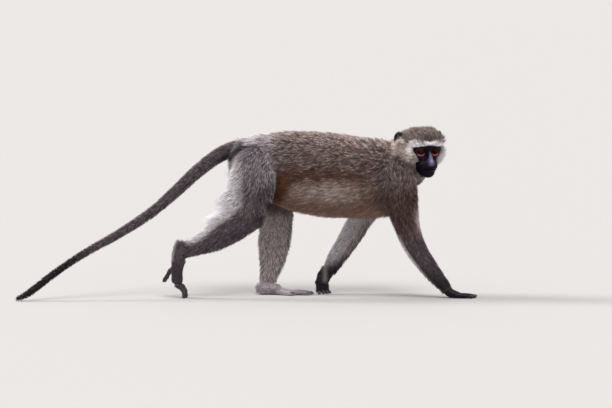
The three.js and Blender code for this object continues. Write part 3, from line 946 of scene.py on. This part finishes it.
    # Only the far cheek is whitened all over; the beige grey left on the near cheek is partly painted
    # shade.
    far_cheek = ramp(18, 30, qy) * ramp(-50, -22, qz)
    brow = ramp(6, 11, qz) * ramp(-34, -15, qx)
    pale_face = np.maximum(np.maximum(0.5 * near_mask, brow), 0.8 * far_cheek)
    lay("white", head * below_cap * pale_face, 0.1)
    lay("arm", head * ramp(-34, -48, qz) * ramp(5, -25, qx) * 0.8, 0.6)
    # Paler tips on top of the cap's corners: partly pale hair, partly a painted highlight along the
    # outline.
    lay("pale", head * cap_corner(q) * ramp(34, 44, qz) * 0.3, 0.8)
    lay("ear", on("ear"), 0.3)
    return colour, grizzle


# %% [markdown]
# ## Bare skin
# The naked face is almost black, with a violet cast that is partly a painted sheen. The ridge of
# the nose carries a painted lilac sheen, a reflection of the sky, that widens towards its tip, and
# the lower lids are pink. Under the fur the skin only has to be a darker ground of the same
# markings, painted shade so that the gaps between tufts read as shade.

# %% Paint the skin
# Near-black bare skin; its violet cast is partly a painted sheen.
MASK_COLOUR = linear("#0c0411")
NOSE_REFLECTION_COLOUR = linear("#787095")
LID_COLOUR = linear("#b86470")
UPPER_LID_COLOUR = linear("#2c0d12")
GROUND_SHADE = 0.4


def bare_skin(points, colour, shares):
    q = to_head(points)
    mask = ramp(6.0, 3.0, mask_edge(q)) * share_of(shares, "head")
    colour = mix(colour, MASK_COLOUR, mask)
    side = np.abs(q[:, 1])
    # Painted reflection: a lilac sheen of the sky along the nose ridge, wider and stronger towards the
    # tip.
    ridge = ramp(1.3, 0.1, side / (2.4 + 0.24 * np.clip(-q[:, 2], 0, 40)))
    ridge *= ramp(3, -6, q[:, 2]) * ramp(-31, -21, q[:, 2])
    ridge *= 0.5 + 0.5 * ramp(-4, -18, q[:, 2])
    colour = mix(colour, NOSE_REFLECTION_COLOUR, 0.95 * ridge * mask)
    offset = q - np.array([0.0, EYE_SIDE, 0.0])
    offset[:, 1] = side - EYE_SIDE
    reach = np.linalg.norm(offset, axis=1)
    lids = ramp(13.5, 10.5, reach)
    lower = ramp(-2.5, -5.0, offset[:, 2]) * ramp(10.0, 5.0, np.abs(offset[:, 1]))
    colour = mix(colour, UPPER_LID_COLOUR, lids * mask)
    colour = mix(colour, LID_COLOUR, lids * lower * mask)
    return colour


def paint(mesh, colour):
    layer = mesh.color_attributes.new("markings", "FLOAT_COLOR", "POINT")
    rgba = np.concatenate([colour, np.ones((len(colour), 1))], axis=1)
    layer.data.foreach_set("color", rgba.astype(np.float32).ravel())


def bareness(points, normals, shares):
    """0 where hair grows, 1 on face, palms, soles and the cups of the ears."""
    bare = ramp(1.5, -1.0, mask_edge(to_head(points))) * share_of(shares, "head")
    under = ramp(-0.1, -0.5, normals[:, 2]) * share_of(shares, "hand", "foot")
    ear = share_of(shares, "ear") * 0.7
    fingers = share_of(shares, "hand") + share_of(shares, "foot", side="right")
    fingers *= 0.9 * ramp(34, 20, points[:, 2])
    return np.clip(bare + under + ear + fingers, 0, 1)


skin_colour, _ = markings(skin_points, skin_normals, part_share)
thinly_furred = share_of(part_share, "hand", "foot", "ear")[:, None]
skin_colour *= GROUND_SHADE + (1 - GROUND_SHADE) * thinly_furred
paint(skin.data, bare_skin(skin_points, skin_colour, part_share))
print("mean colour of the skin:", skin_colour.mean(axis=0).round(3))

# %% [markdown]
# ## A map of the skin
# The skin is unwrapped by its own shape, like a pelt cut into flat pieces. Each tuft later takes
# a spot three thousandths wide on that map, at its root, so a baked picture keeps its colour.

# %% Unwrap the skin
BAKE_MAP = "OFBake"
bpy.context.view_layer.objects.active = skin
skin.select_set(True)
bpy.ops.object.mode_set(mode="EDIT")
bpy.ops.mesh.select_all(action="SELECT")
bpy.ops.uv.smart_project(angle_limit=math.radians(66), island_margin=0.001)
bpy.ops.object.mode_set(mode="OBJECT")
skin.select_set(False)
skin.data.uv_layers[0].name = BAKE_MAP
flat_map = read(skin.data.uv_layers[BAKE_MAP].data, "uv", 2)
skin.data.calc_loop_triangles()
corner_map = flat_map[read(skin.data.loop_triangles, "loops", 3, np.int32)]
print("map spans", flat_map.min(0), flat_map.max(0))

# %% [markdown]
# ## Tufts
# A museum's furrier would lay real pelt. Here each lock of hairs is a thin three-sided blade
# that leaves the skin, bends along the coat and ends in a point, and between the locks go finer
# single spikes. Neighbouring locks lean together at their tips and share a tone, as the hairs of
# a real lock do, and that gives the coat its grain. Blades with real thickness keep their shape
# from every side and survive export, which hair particles don't.

# %% Length of the hair
HAIR = {
    "trunk": 24, "neck": 25, "head": 14, "ear": 4.5, "upper_arm": 17, "forearm": 12, "hand": 4.5,
    "thigh": 20, "shank": 13, "foot": 5, "tail_root": 10, "tail_upper": 9, "tail_lower": 8,
    "tail_tip": 7,
}  # fmt: skip
# Hair is this much longer in some places, in mm, and shorter round the bare mask.
LONGER = {
    "cheek": 8, "mask": -7, "cap": 14, "temple": 10, "ruff": 12, "belly": 8, "ankle": 8,
    "fringe": 30,
}  # fmt: skip
BETWEEN_FEET = -60  # mm, an X between the two ankles
ANKLE_REACH = (46, 14)  # mm from an ankle's middle, where the longer hair starts and is full


def ankle(points):
    """1 at the ankles, fading down the feet and up the shanks."""
    between = share_of(part_share, "foot") * share_of(part_share, "shank") > 0.1
    near = np.zeros(len(points))
    for side in (1, -1):
        chosen = between & (side * (skin_points[:, 0] - BETWEEN_FEET) > 0)
        middle = skin_points[chosen].mean(axis=0)
        reach = np.linalg.norm(points - middle, axis=1)
        near = np.maximum(near, ramp(*ANKLE_REACH, reach))
    return near


def hair_length(points, normals, shares):
    length = shares @ per_part(HAIR)
    q = to_head(points)
    qx, qy, qz = q.T
    head = share_of(shares, "head")
    edge = ramp(1, 14, mask_edge(q))
    cheek = ramp(6, -6, qz) * ramp(0, -20, qx)
    temple = ramp(20, 33, np.abs(qy)) * bell(qz, -2, 18)
    ruff = bell(qy, 36, 12) * bell(qz, -5, 26) * ramp(-34, -8, qx)
    belly = share_of(shares, "trunk") * ramp(0.0, -0.8, normals[:, 2])
    places = {
        "cheek": head * cheek * edge,
        "mask": head * (1 - edge),
        "cap": head * cap_corner(q),
        "temple": head * temple * edge,
        "ruff": head * ruff,
        "belly": belly,
        "fringe": fringe(points, normals, shares),
        "ankle": ankle(points) * share_of(shares, "foot", "shank"),
    }
    return length + sum(LONGER[name] * share for name, share in places.items())


usual_hair = hair_length(skin_points, skin_normals, part_share)
print("hair from", round(usual_hair.min(), 1), "to", round(usual_hair.max(), 1), "mm long")

# %% Room for the tips
STAND_OFF = {"crown": 3, "cap": 17, "ruff": 24, "nape": 8, "heel": 3, "knee": 7, "fringe": 22}
NAPE_X, KNEE_X, KNEE_Z = 328, 42, 193  # mm, body frame


def extra_room(points, normals, shares):
    """How much farther than the solids the tips may stand off, in mm."""
    x, _, z = points.T
    q = to_head(points)
    qx, qy, qz = q.T
    head = share_of(shares, "head")
    side = bell(qy, 36, 13) + 0.25 * bell(qy, -36, 13)
    upwards = ramp(0.2, 0.8, normals[:, 2])
    places = {
        "crown": head * ramp(18, 28, qz),
        "cap": head * (1 + 0.3 * ramp(0, 20, qy)) * cap_corner(q),
        "ruff": head * side * bell(qz, -5, 24) * ramp(-34, -8, qx),
        "nape": bell(x, NAPE_X, 34) * upwards * share_of(shares, "neck", "trunk"),
        "heel": ankle(points) * share_of(shares, "foot"),
        "knee": bell(x, KNEE_X, 16) * bell(z, KNEE_Z, 18) * share_of(shares, *LEG),
        "fringe": fringe(points, normals, shares),
    }
    return sum(STAND_OFF[name] * share for name, share in places.items())


most_room = extra_room(skin_points, skin_normals, part_share).max()
print("tips stand off up to", round(most_room, 1), "mm farther than the solids")

# %% Sample roots over the skin
corners = skin_points[skin_faces]
sides = np.cross(corners[:, 1] - corners[:, 0], corners[:, 2] - corners[:, 0])
face_area = 0.5 * np.linalg.norm(sides, axis=1)
face_middle = corners.mean(axis=1)
face_share = part_share[skin_faces].mean(axis=1)
face_normal = unit(skin_normals[skin_faces].mean(axis=1))
thicker = 1 + 2.5 * share_of(face_share, "hand", "foot") + cap_corner(to_head(face_middle))
growth = face_area * thicker * (1 - bareness(face_middle, face_normal, face_share))
print("furred skin:", round(growth.sum() / 100), "square cm")


def sample_roots(chosen, count, rng):
    """Random places on the chosen faces, with everything that the skin knows there."""
    faces = np.flatnonzero(chosen)
    odds = growth[faces] / growth[faces].sum()
    picked = rng.choice(faces, size=count, p=odds)
    first, second = rng.random((2, count))
    flip = first + second > 1
    first, second = np.where(flip, 1 - first, first), np.where(flip, 1 - second, second)
    weights = np.stack([1 - first - second, first, second], axis=1)[..., None]
    spots = skin_faces[picked]
    return {
        "point": (skin_points[spots] * weights).sum(1),
        "normal": unit((skin_normals[spots] * weights).sum(1)),
        "flow": unit((flow[spots] * weights).sum(1)),
        "share": (part_share[spots] * weights).sum(1),
        "gap": (coat_gap[spots] * weights[..., 0]).sum(1),
        "map": (corner_map[picked] * weights).sum(1),
    }


# %% Locks
PATCH = 0.003  # width of a tuft's spot on the map
SINK = 0.06  # of a tuft's length is set below the skin
LOCK_WIDTHS = 2.2  # a lock is this many tuft widths across
LOCK_PULL = 0.4  # how far tips move towards the middle of their lock
LOCK_REACH = 1.5  # hair lengths, beyond which a lock no longer pulls


def nearest_leader(roots, leaders):
    tree = KDTree(len(leaders))
    for index, root in enumerate(roots[leaders]):
        tree.insert(root, index)
    tree.balance()
    return np.array([tree.find(root)[1] for root in roots])


def gathered(roots, heading, length, leader):
    """Headings changed so that the tips of a lock meet."""
    tips = roots + heading * length[:, None]
    apart = np.linalg.norm(roots[leader] - roots, axis=1)
    pull = np.clip(LOCK_REACH - apart / length, 0, 1) * LOCK_PULL
    return unit(mix(tips, tips[leader], pull) - roots)


# %% Blades
SECTION = np.array([[-0.5, 0.0], [0.5, 0.0], [0.0, 0.62]])  # across and rise, in widths
BEND = 0.6  # how far along a tuft its middle ring sits
ROOT_WIDTH = 0.8  # of the width at the middle


def blades(spot, heading, droop, length, width, colour, rings):
    """Points, triangles, colours and map places of three-sided blades, as flat arrays."""
    side = unit(np.cross(heading, spot["normal"]))
    top = unit(np.cross(side, heading))
    root = spot["point"] - spot["normal"] * (length * SINK)[:, None]
    middle = root + heading * (length * BEND)[:, None]
    later = unit(heading - spot["normal"] * droop[:, None])
    tip = middle + later * (length * (1 - BEND))[:, None]
    levels = [(root, ROOT_WIDTH, 0), (middle, 1.0, 1)][:rings]
    points, colours, places = [], [], []
    for place, size, level in levels:
        for across, rise in SECTION:
            offset = side * across + top * rise
            points.append(place + offset * (width * size)[:, None])
            colours.append(colour[level])
            places.append(spot["map"] + np.array([across, level * 0.5 - 0.5]) * PATCH)
    points.append(tip)
    colours.append(colour[2])
    places.append(spot["map"] + np.array([0.0, 0.5]) * PATCH)
    pattern = []
    for a, b in ((0, 1), (1, 2), (2, 0)):
        if rings == 2:
            pattern += [(a, b, b + 3), (a, b + 3, a + 3)]
        last = 3 * (rings - 1)
        pattern.append((last + a, last + b, len(points) - 1))
    faces = np.arange(len(length))[:, None, None] * len(points) + np.array(pattern)
    return (
        np.stack(points, 1).reshape(-1, 3),
        faces.reshape(-1, 3),
        np.stack(colours, 1).reshape(-1, 3),
        np.stack(places, 1).reshape(-1, 2),
    )


# %% Colours along a hair
SEEN_AT = 0.5  # the markings are read this far along a hair, where it shows
# Painted shade: each hair's root is darkened to this share of its colour, as the coat shades it.
ROOT_SHADE = 0.4
PLAIN_SWING, GRIZZLE_SWING = 0.25, 1.9  # how far locks differ where the coat is plain or grizzled
MIDDLE_SWING, TIP_SWING = 0.45, 2.5  # how much of that shows at middle and tip
MIDDLE_LIGHT, TIP_LIGHT = -0.12, 0.2
STRAW = np.array([1.06, 1.0, 0.92])  # the warm cast of a pale tip


def tuft_colours(spot, level):
    """Root, middle and tip colours, the root darkened as painted shade. Grizzled locks run from dark to
    straw-tipped.
    """
    base, grizzle = markings(spot["seen"], spot["normal"], spot["share"])
    swing = (level - 0.5) * (PLAIN_SWING + GRIZZLE_SWING * grizzle)
    straw = mix(np.ones(3), STRAW, np.clip(grizzle * level, 0, 1))
    root = base * ROOT_SHADE
    middle = base * np.exp(MIDDLE_SWING * swing + MIDDLE_LIGHT)[:, None]
    tip = base * np.exp(TIP_SWING * swing + TIP_LIGHT)[:, None] * straw
    return root, np.clip(middle, 0, 0.9), np.clip(tip, 0, 0.92)


# %% Grow one piece of the coat
SPIKE_SHARE = 0.5  # of the triangles, spent on single spikes
TUFT_TRIANGLES, SPIKE_TRIANGLES = 9, 3
LENGTH_RANGE, WIDTH_RANGE = (0.75, 1.15), (0.7, 1.25)  # of the usual length and width
SPIKE_LENGTH, SPIKE_WIDTH = 0.85, 0.7  # of a tuft's
STOUTEST = 0.16  # width of the stoutest blade, of its length
OVER_SOLIDS = 1.12  # tips reach a little past the solids, so that the solids' outline fills up
BENT_REACH = 0.8  # how high a bent hair's tip stands, of a straight one's
LIFT_RANGE = (0.14, 0.9)  # sines of the flattest and the steepest lift
LIFT_SPREAD, SIDE_SPREAD = 0.045, 0.16
DROOP = 0.6  # how far the tips bend back to the skin, of their lift
LOCK_TONE = 0.75  # of a hair's tone comes from its lock
ABOVE_FLOOR = 0.3  # mm, where hairs under a sole or a palm are pressed flat


def grow(name, chosen, triangles, width, seed):
    rng = np.random.default_rng(seed)
    tufts = int(triangles * (1 - SPIKE_SHARE) / TUFT_TRIANGLES)
    count = tufts + int(triangles * SPIKE_SHARE / SPIKE_TRIANGLES)
    spot = sample_roots(chosen, count, rng)
    is_tuft = np.arange(count) < tufts
    length = hair_length(spot["point"], spot["normal"], spot["share"])
    length *= rng.uniform(*LENGTH_RANGE, count) * np.where(is_tuft, 1, SPIKE_LENGTH)
    length *= 1 + 0.1 * waves(spot["point"], 16, seed + 5)
    spot["seen"] = spot["point"] + spot["flow"] * (SEEN_AT * length)[:, None]
    room = OVER_SOLIDS * spot["gap"] + extra_room(spot["point"], spot["normal"], spot["share"])
    rise = room / (BENT_REACH * length) + SINK
    lift = np.arcsin(np.clip(rise, *LIFT_RANGE)) + rng.normal(0, LIFT_SPREAD, count)
    aside = np.cross(spot["normal"], spot["flow"]) * rng.normal(0, SIDE_SPREAD, count)[:, None]
    along = unit(spot["flow"] + aside)
    heading = along * np.cos(lift)[:, None] + spot["normal"] * np.sin(lift)[:, None]
    locks = int(growth[chosen].sum() / (LOCK_WIDTHS * width) ** 2)
    leaders = rng.choice(count, size=min(locks, count), replace=False)
    lock = nearest_leader(spot["point"], leaders)
    heading = gathered(spot["point"], heading, length, leaders[lock])
    level = LOCK_TONE * rng.random(len(leaders))[lock] + (1 - LOCK_TONE) * rng.random(count)
    colour = tuft_colours(spot, level)
    size = width * rng.uniform(*WIDTH_RANGE, count) * np.where(is_tuft, 1, SPIKE_WIDTH)
    size = np.minimum(size, length * STOUTEST)
    droop = DROOP * np.sin(lift)
    parts = []
    for rings, rows in ((2, is_tuft), (1, ~is_tuft)):
        part = {key: value[rows] for key, value in spot.items()}
        shades = [shade[rows] for shade in colour]
        parts.append(blades(part, heading[rows], droop[rows], length[rows], size[rows], shades, rings))
    points, faces, colours, places = stacked(parts)
    points[:, 2] = np.maximum(points[:, 2], ABOVE_FLOOR)
    piece = make_mesh(name, points, faces)
    paint(piece.data, colours)
    layer = piece.data.uv_layers.new(name=BAKE_MAP)
    layer.data.foreach_set("uv", places[faces.ravel()].astype(np.float32).ravel())
    print(name, len(faces), "triangles")
    return piece


# %% The ten pieces of the coat
main_part = part_share[skin_faces[:, 0]].argmax(axis=1)
on_belly = face_normal[:, 2] < -0.35
on_right = face_middle[:, 1] < 0


def faces_of(*kinds, side=""):
    return named(*kinds, side=side)[main_part]


COATS = {
    "coat_side_right": (faces_of("trunk") & ~on_belly & on_right, 196000, 1.1),
    "coat_side_left": (faces_of("trunk") & ~on_belly & ~on_right, 165000, 1.3),
    "coat_belly": (faces_of("trunk") & on_belly, 110000, 1.3),
    "coat_neck": (faces_of("neck"), 120000, 1.1),
    "coat_head": (faces_of("head", "ear"), 196000, 0.75),
    "coat_arm_right": (faces_of(*ARM, "hand", side="right"), 160000, 0.9),
    "coat_arm_left": (faces_of(*ARM, "hand", side="left"), 120000, 1.0),
    "coat_leg_right": (faces_of(*LEG, "foot", side="right"), 190000, 1.0),
    "coat_leg_left": (faces_of(*LEG, "foot", side="left"), 130000, 1.1),
    "coat_tail": (faces_of(*TAIL), 110000, 0.9),
}  # each with its faces, its triangles and the width of its tufts in mm
coats = [grow(name, *piece, seed) for seed, (name, piece) in enumerate(COATS.items(), start=20)]

# %% [markdown]
# ## Materials
# Every finish here is a Principled shader with a few nodes. One function adds a node.

# %% One way to add nodes
def add_node(tree, kind_of_node, links=None, **settings):
    """Adds a node, sets its properties and sockets, and joins its inputs."""
    node = tree.nodes.new(kind_of_node)
    for name, value in settings.items():
        if hasattr(node, name):
            setattr(node, name, value)
        else:
            node.inputs[name.replace("_", " ")].default_value = value
    return join(tree, node, links or {})


def join(tree, node, links):
    for socket, source in links.items():
        tree.links.new(source, node.inputs[socket])
    return node


def new_material(name, **surface):
    material = bpy.data.materials.new(name)
    material.use_nodes = True
    tree = material.node_tree
    shader = tree.nodes["Principled BSDF"]
    for socket, value in surface.items():
        shader.inputs[socket.replace("_", " ")].default_value = value
    return material, tree, shader


def noise_over(tree, scale, detail):
    """The place in space, and noise of the given scale there."""
    place = add_node(tree, "ShaderNodeNewGeometry").outputs["Position"]
    noise = add_node(tree, "ShaderNodeTexNoise", {"Vector": place}, Scale=scale, Detail=detail)
    return place, noise.outputs["Fac"]


def remapped(tree, source, low, high, start=0.3, end=0.7):
    """A value from start to end, such as noise, stretched to go from low to high."""
    limits = dict(From_Min=start, From_Max=end, To_Min=low, To_Max=high)
    return add_node(tree, "ShaderNodeMapRange", {"Value": source}, **limits).outputs["Result"]


def toned_point_colours(tree, scale, detail, low, high):
    """The colours painted on the points, painted light and shade among them, made darker and lighter by
    noise of the given scale.
    """
    marks = add_node(tree, "ShaderNodeAttribute", attribute_name="markings")
    place, noise = noise_over(tree, scale, detail)
    links = {0: marks.outputs["Color"], "Scale": remapped(tree, noise, low, high)}
    toned = add_node(tree, "ShaderNodeVectorMath", links, operation="SCALE")
    return toned.outputs["Vector"], place, noise


# %% Fur: keratin hairs, matt with a faint sheen
FUR_LOOK = dict(Roughness=0.7, IOR=1.55, Specular_IOR_Level=0.3, Sheen_Weight=0.12, Sheen_Roughness=0.5)
fur, tree, shader = new_material("keratin_fur", **FUR_LOOK)
colour, _, _ = toned_point_colours(tree, 420.0, 2.0, 0.85, 1.15)
join(tree, shader, {"Base Color": colour})
for piece in coats:
    piece.data.materials.append(fur)
print("furred pieces:", len(coats))

# %% Skin: naked, finely creased and slightly moist, its gloss varying from place to place
hide, tree, shader = new_material("bare_hide", Roughness=0.42, IOR=1.4, Specular_IOR_Level=0.14)
colour, place, mottle = toned_point_colours(tree, 160.0, 4.0, 0.75, 1.25)
creases = add_node(
    tree, "ShaderNodeTexVoronoi", {"Vector": place}, feature="DISTANCE_TO_EDGE", Scale=650.0
).outputs["Distance"]
bump = add_node(tree, "ShaderNodeBump", {"Height": creases}, Strength=0.25, Distance=0.0006)
shine = remapped(tree, mottle, 0.34, 0.52)
join(tree, shader, {"Base Color": colour, "Normal": bump.outputs["Normal"], "Roughness": shine})
skin.data.materials.clear()
skin.data.materials.append(hide)
print("skin material:", hide.name)

# %% [markdown]
# ## Eyes
# A vervet's eye is dark reddish brown, and dark to its corners. It is a wet ball with a slight
# bulge over the iris, so it has a true edge and depth between the lids.

# %% Eyes
IRIS = 6.2  # mm from its middle to its rim
PUPIL = 2.4
BULGE = 0.45
IRIS_COLOUR = linear("#34130e")
SCLERA_COLOUR = linear("#1a0b09")
PUPIL_COLOUR = linear("#020101")
EYE_RINGS, EYE_COLUMNS = 40, 64


def eye_ball(name, middle):
    tilt = np.linspace(0, math.pi, EYE_RINGS + 1)[1:-1]
    turn = np.linspace(0, 2 * math.pi, EYE_COLUMNS, endpoint=False)
    tilts, turns = (grid.ravel() for grid in np.meshgrid(tilt, turn, indexing="ij"))
    shape = np.stack(
        [np.cos(tilts), np.sin(tilts) * np.cos(turns), np.sin(tilts) * np.sin(turns)], 1
    )
    shape = np.vstack([shape, [[1, 0, 0], [-1, 0, 0]]])
    away = np.arccos(np.clip(shape[:, 0], -1, 1)) * EYE_RADIUS
    radius = EYE_RADIUS + BULGE * ramp(IRIS + 0.8, 0, away)
    points = middle + (shape * radius[:, None]) @ HEAD_AXES
    front, back = len(points) - 2, len(points) - 1
    here = np.arange(front).reshape(-1, EYE_COLUMNS)
    after = np.roll(here, -1, axis=1)
    caps = [(front, here[0], after[0]), (here[-1], back, after[-1])]
    rings = [(here[:-1], here[1:], after[1:]), (here[:-1], after[1:], after[:-1])]
    faces = [np.stack(np.broadcast_arrays(*corners), -1).reshape(-1, 3) for corners in caps + rings]
    piece = make_mesh(name, points, np.vstack(faces))
    streak = 1 + 0.35 * waves(shape * 9 + 40, 2.2, 3)
    in_iris = ramp(IRIS + 0.3, IRIS - 0.3, away)
    colour = mix(np.tile(SCLERA_COLOUR, (len(away), 1)), IRIS_COLOUR * streak[:, None], in_iris)
    rim = bell(away, IRIS, 0.5)
    pupil = ramp(PUPIL + 0.25, PUPIL - 0.25, away)
    colour = mix(colour, PUPIL_COLOUR, np.maximum(rim, pupil))
    paint(piece.data, colour)
    return piece


eyes = [eye_ball("eye_right_ball", EYE_RIGHT), eye_ball("eye_left_ball", EYE_LEFT)]
EYE_LOOK = dict(
    Roughness=0.12, IOR=1.38, Specular_IOR_Level=0.05, Coat_Weight=0.12, Coat_Roughness=0.03
)  # a soft gleam under a clear wet film
cornea, tree, shader = new_material("wet_cornea", **EYE_LOOK)
colour, _, _ = toned_point_colours(tree, 900.0, 3.0, 0.7, 1.3)
join(tree, shader, {"Base Color": colour})
for piece in eyes:
    piece.data.materials.append(cornea)
print("points in each eye:", len(eyes[0].data.vertices))

# %% [markdown]
# ## Nails
# Each finger and toe ends in a narrow arched nail of black horn. The digits step down their
# bones from knuckle to tip as on the frame, and each nail is a thin shell on the last bone.

# %% Where the digits end
DIGIT_SHARES = (0.86, 1.0, 0.96, 0.82)  # lengths from the thumb's side outwards
KNUCKLE_ARCH = 5.0  # mm that the outer knuckles lie behind the middle ones


def digit_tip(x, y, heading, slopes, bones, height):
    """Tip, direction of the last bone and its sideways direction. Angles in degrees."""
    turn = math.radians(heading)
    reach = sum(bone * math.cos(math.radians(slope)) for slope, bone in zip(slopes, bones))
    last = math.radians(slopes[-1])
    tip = np.array([x + math.cos(turn) * reach, y + math.sin(turn) * reach, height])
    ahead = np.array([math.cos(turn) * math.cos(last), math.sin(turn) * math.cos(last), math.sin(last)])
    return tip, ahead, np.array([-math.sin(turn), math.cos(turn), 0.0])


def digit_row(x, y, side, width, fan, heading, slopes, bones, height):
    """The tips of four fingers or toes whose knuckles lie on an arc of the given width."""
    turn = math.radians(heading)
    tips = []
    for index, share in enumerate(DIGIT_SHARES):
        outward = side * (index / (len(DIGIT_SHARES) - 1) - 0.5)
        back = abs(outward) * KNUCKLE_ARCH
        knuckle_x = x - math.sin(turn) * outward * width - math.cos(turn) * back
        knuckle_y = y + math.cos(turn) * outward * width - math.sin(turn) * back
        sized = [bone * share for bone in bones]
        tips.append(digit_tip(knuckle_x, knuckle_y, heading + outward * fan, slopes, sized, height))
    return tips


FINGER_TIP, TOE_TIP, THUMB_TOE = 3.4, 3.5, 4.6  # radii in mm
digits = {
    FINGER_TIP: [
        *digit_row(477, -49, -1, 24, 26, 0, (6, -7, -12), (16, 12, 10), 3.1),
        digit_tip(459, -40, 46, (-14, -6), (14, 11), 3.1),
        *digit_row(171, 41, 1, 26, 22, -52, (-68, -86, -40), (14, 11, 7), 3.1),
        digit_tip(168, 33, -172, (-66, -84), (17, 12), 8),
    ],
    TOE_TIP: [
        *digit_row(-153, -51, -1, 24, 18, 0, (-32, -64, -96), (17, 13, 10), 3.2),
        *digit_row(106, 24, 1, 25, 22, 0, (7, -5, -12), (18, 14, 10), 3.2),
    ],
    THUMB_TOE: [
        digit_tip(-160, -40, 162, (-40, -60, -58), (15, 13, 11), 38),
        digit_tip(72, 17, -36, (-4, 0, -4), (16, 13, 10), 4.2),
    ],
}
print("digits:", sum(map(len, digits.values())))

# %% Shape of a nail
NAIL_BACK = 3.6  # mm behind the tip's middle
NAIL_OVER = 1.4  # mm past the end of the flesh
NAIL_PROUD = 0.7  # mm above the flesh
NAIL_THICK = 0.8
NAIL_ARCH = math.radians(58)  # half of the arc round the digit
NAIL_STEPS, NAIL_ACROSS = 7, 7


def nail(tip, ahead, across, radius):
    """A thin curved shell over the end of a digit, narrower and lower towards its edge."""
    up = np.cross(ahead, across)
    places = np.linspace(-NAIL_BACK, radius + NAIL_OVER, NAIL_STEPS)
    angles = np.linspace(-NAIL_ARCH, NAIL_ARCH, NAIL_ACROSS)
    points = []
    for inset in (0.0, NAIL_THICK):
        for place in places:
            bend = max(place, 0.0) / (radius + NAIL_OVER)
            out = (radius + NAIL_PROUD - inset) * (1 - 0.45 * bend**2)
            for angle in angles * (1 - 0.35 * bend):
                around = across * math.sin(angle) + up * math.cos(angle)
                points.append(tip + ahead * place + around * out)
    grid = np.arange(NAIL_STEPS * NAIL_ACROSS).reshape(NAIL_STEPS, NAIL_ACROSS)
    a, b, c, d = grid[:-1, :-1], grid[:-1, 1:], grid[1:, 1:], grid[1:, :-1]
    outer = np.stack([a, c, b, a, d, c], -1).reshape(-1, 3)
    inner = outer[:, ::-1] + grid.size
    edge = np.concatenate([grid[0], grid[1:, -1], grid[-1, -2::-1], grid[-2:0:-1, 0]])
    after = np.roll(edge, -1)
    below, below_after = edge + grid.size, after + grid.size
    rim = np.stack([edge, after, below_after, edge, below_after, below], -1).reshape(-1, 3)
    points = np.array(points)
    points[:, 2] += max(0.0, ABOVE_FLOOR - points[:, 2].min())
    return points, np.vstack([outer, inner, rim])


shells = [nail(*end, radius) for radius, ends in digits.items() for end in ends]
nails = make_mesh("nails", *stacked(shells))
print("nails:", len(shells))

# %% Horn: black, with a fine grain along which it shines more or less
horn, tree, shader = new_material("black_horn", IOR=1.54)
_, grain = noise_over(tree, 900.0, 3.0)
colour = add_node(tree, "ShaderNodeValToRGB", {"Fac": grain})
for stop, code in zip(colour.color_ramp.elements, ("#0f0c0e", "#3a3236")):
    stop.color = (*linear(code), 1)
shine = remapped(tree, grain, 0.3, 0.5, 0.0, 1.0)
join(tree, shader, {"Base Color": colour.outputs["Color"], "Roughness": shine})
nails.data.materials.append(horn)
print("nail material:", horn.name)

# %% [markdown]
# ## Floor and light
# A plain pale floor under one big soft light from above, as under a bright overcast sky, and a
# second one from behind that lights the tips of the hair along the outline.

# %% Stage
floor_mesh = bmesh.new()
bmesh.ops.create_grid(floor_mesh, x_segments=1, y_segments=1, size=30)
floor = bpy.data.objects.new("floor", bpy.data.meshes.new("floor"))
floor_mesh.to_mesh(floor.data)
floor_mesh.free()
bpy.context.scene.collection.objects.link(floor)
plaster, *_ = new_material("pale_plaster", Roughness=0.9, Base_Color=(*linear("#aaa8a6"), 1))
floor.data.materials.append(plaster)
print("floor:", [round(side, 1) for side in floor.dimensions])

# %% Sky and suns
world = bpy.data.worlds.new("studio")
world.use_nodes = True
sky = world.node_tree
direction = add_node(sky, "ShaderNodeTexCoord")
height = add_node(sky, "ShaderNodeSeparateXYZ", {"Vector": direction.outputs["Generated"]})
background = sky.nodes["Background"]
background.inputs["Color"].default_value = (*linear("#f6f3f4"), 1)
join(sky, background, {"Strength": remapped(sky, height.outputs["Z"], 0.35, 1.15, 0.0, 0.8)})
bpy.context.scene.world = world


def sun(name, strength, spread_angle, lean, swing):
    """A far soft light. Lean tips it over towards -Y, swing turns it round the vertical."""
    light = bpy.data.objects.new(name, bpy.data.lights.new(name, "SUN"))
    light.data.energy = strength
    light.data.angle = math.radians(spread_angle)
    light.rotation_euler = (math.radians(lean), 0, math.radians(swing))
    bpy.context.scene.collection.objects.link(light)


sun("key", 2.2, 30, 32, 15)
sun("rim", 2.8, 20, -54, 78)
bpy.context.scene.view_settings.view_transform = "Standard"

# %% [markdown]
# ## On the body
# Each piece rides on the one body, and the frame's solids that the pieces stand for are hidden.

# %% Ride and replace
COAT_SLOTS = {"coat_tail": "tail_coat", "coat_head": "white_coat", "coat_belly": "white_coat"}
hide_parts(*FLESH)
for piece, node in zip(eyes, ("eye_right", "eye_left")):
    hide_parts(node)
slots = {skin: "face_skin", nails: "nail", eyes[0]: "eye", eyes[1]: "eye"}
slots.update({piece: COAT_SLOTS.get(piece.name, "grizzled_coat") for piece in coats})
for piece, slot in slots.items():
    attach(piece, "root")
print("pieces handed over:", len(slots))

# %% The end
bpy.context.view_layer.update()
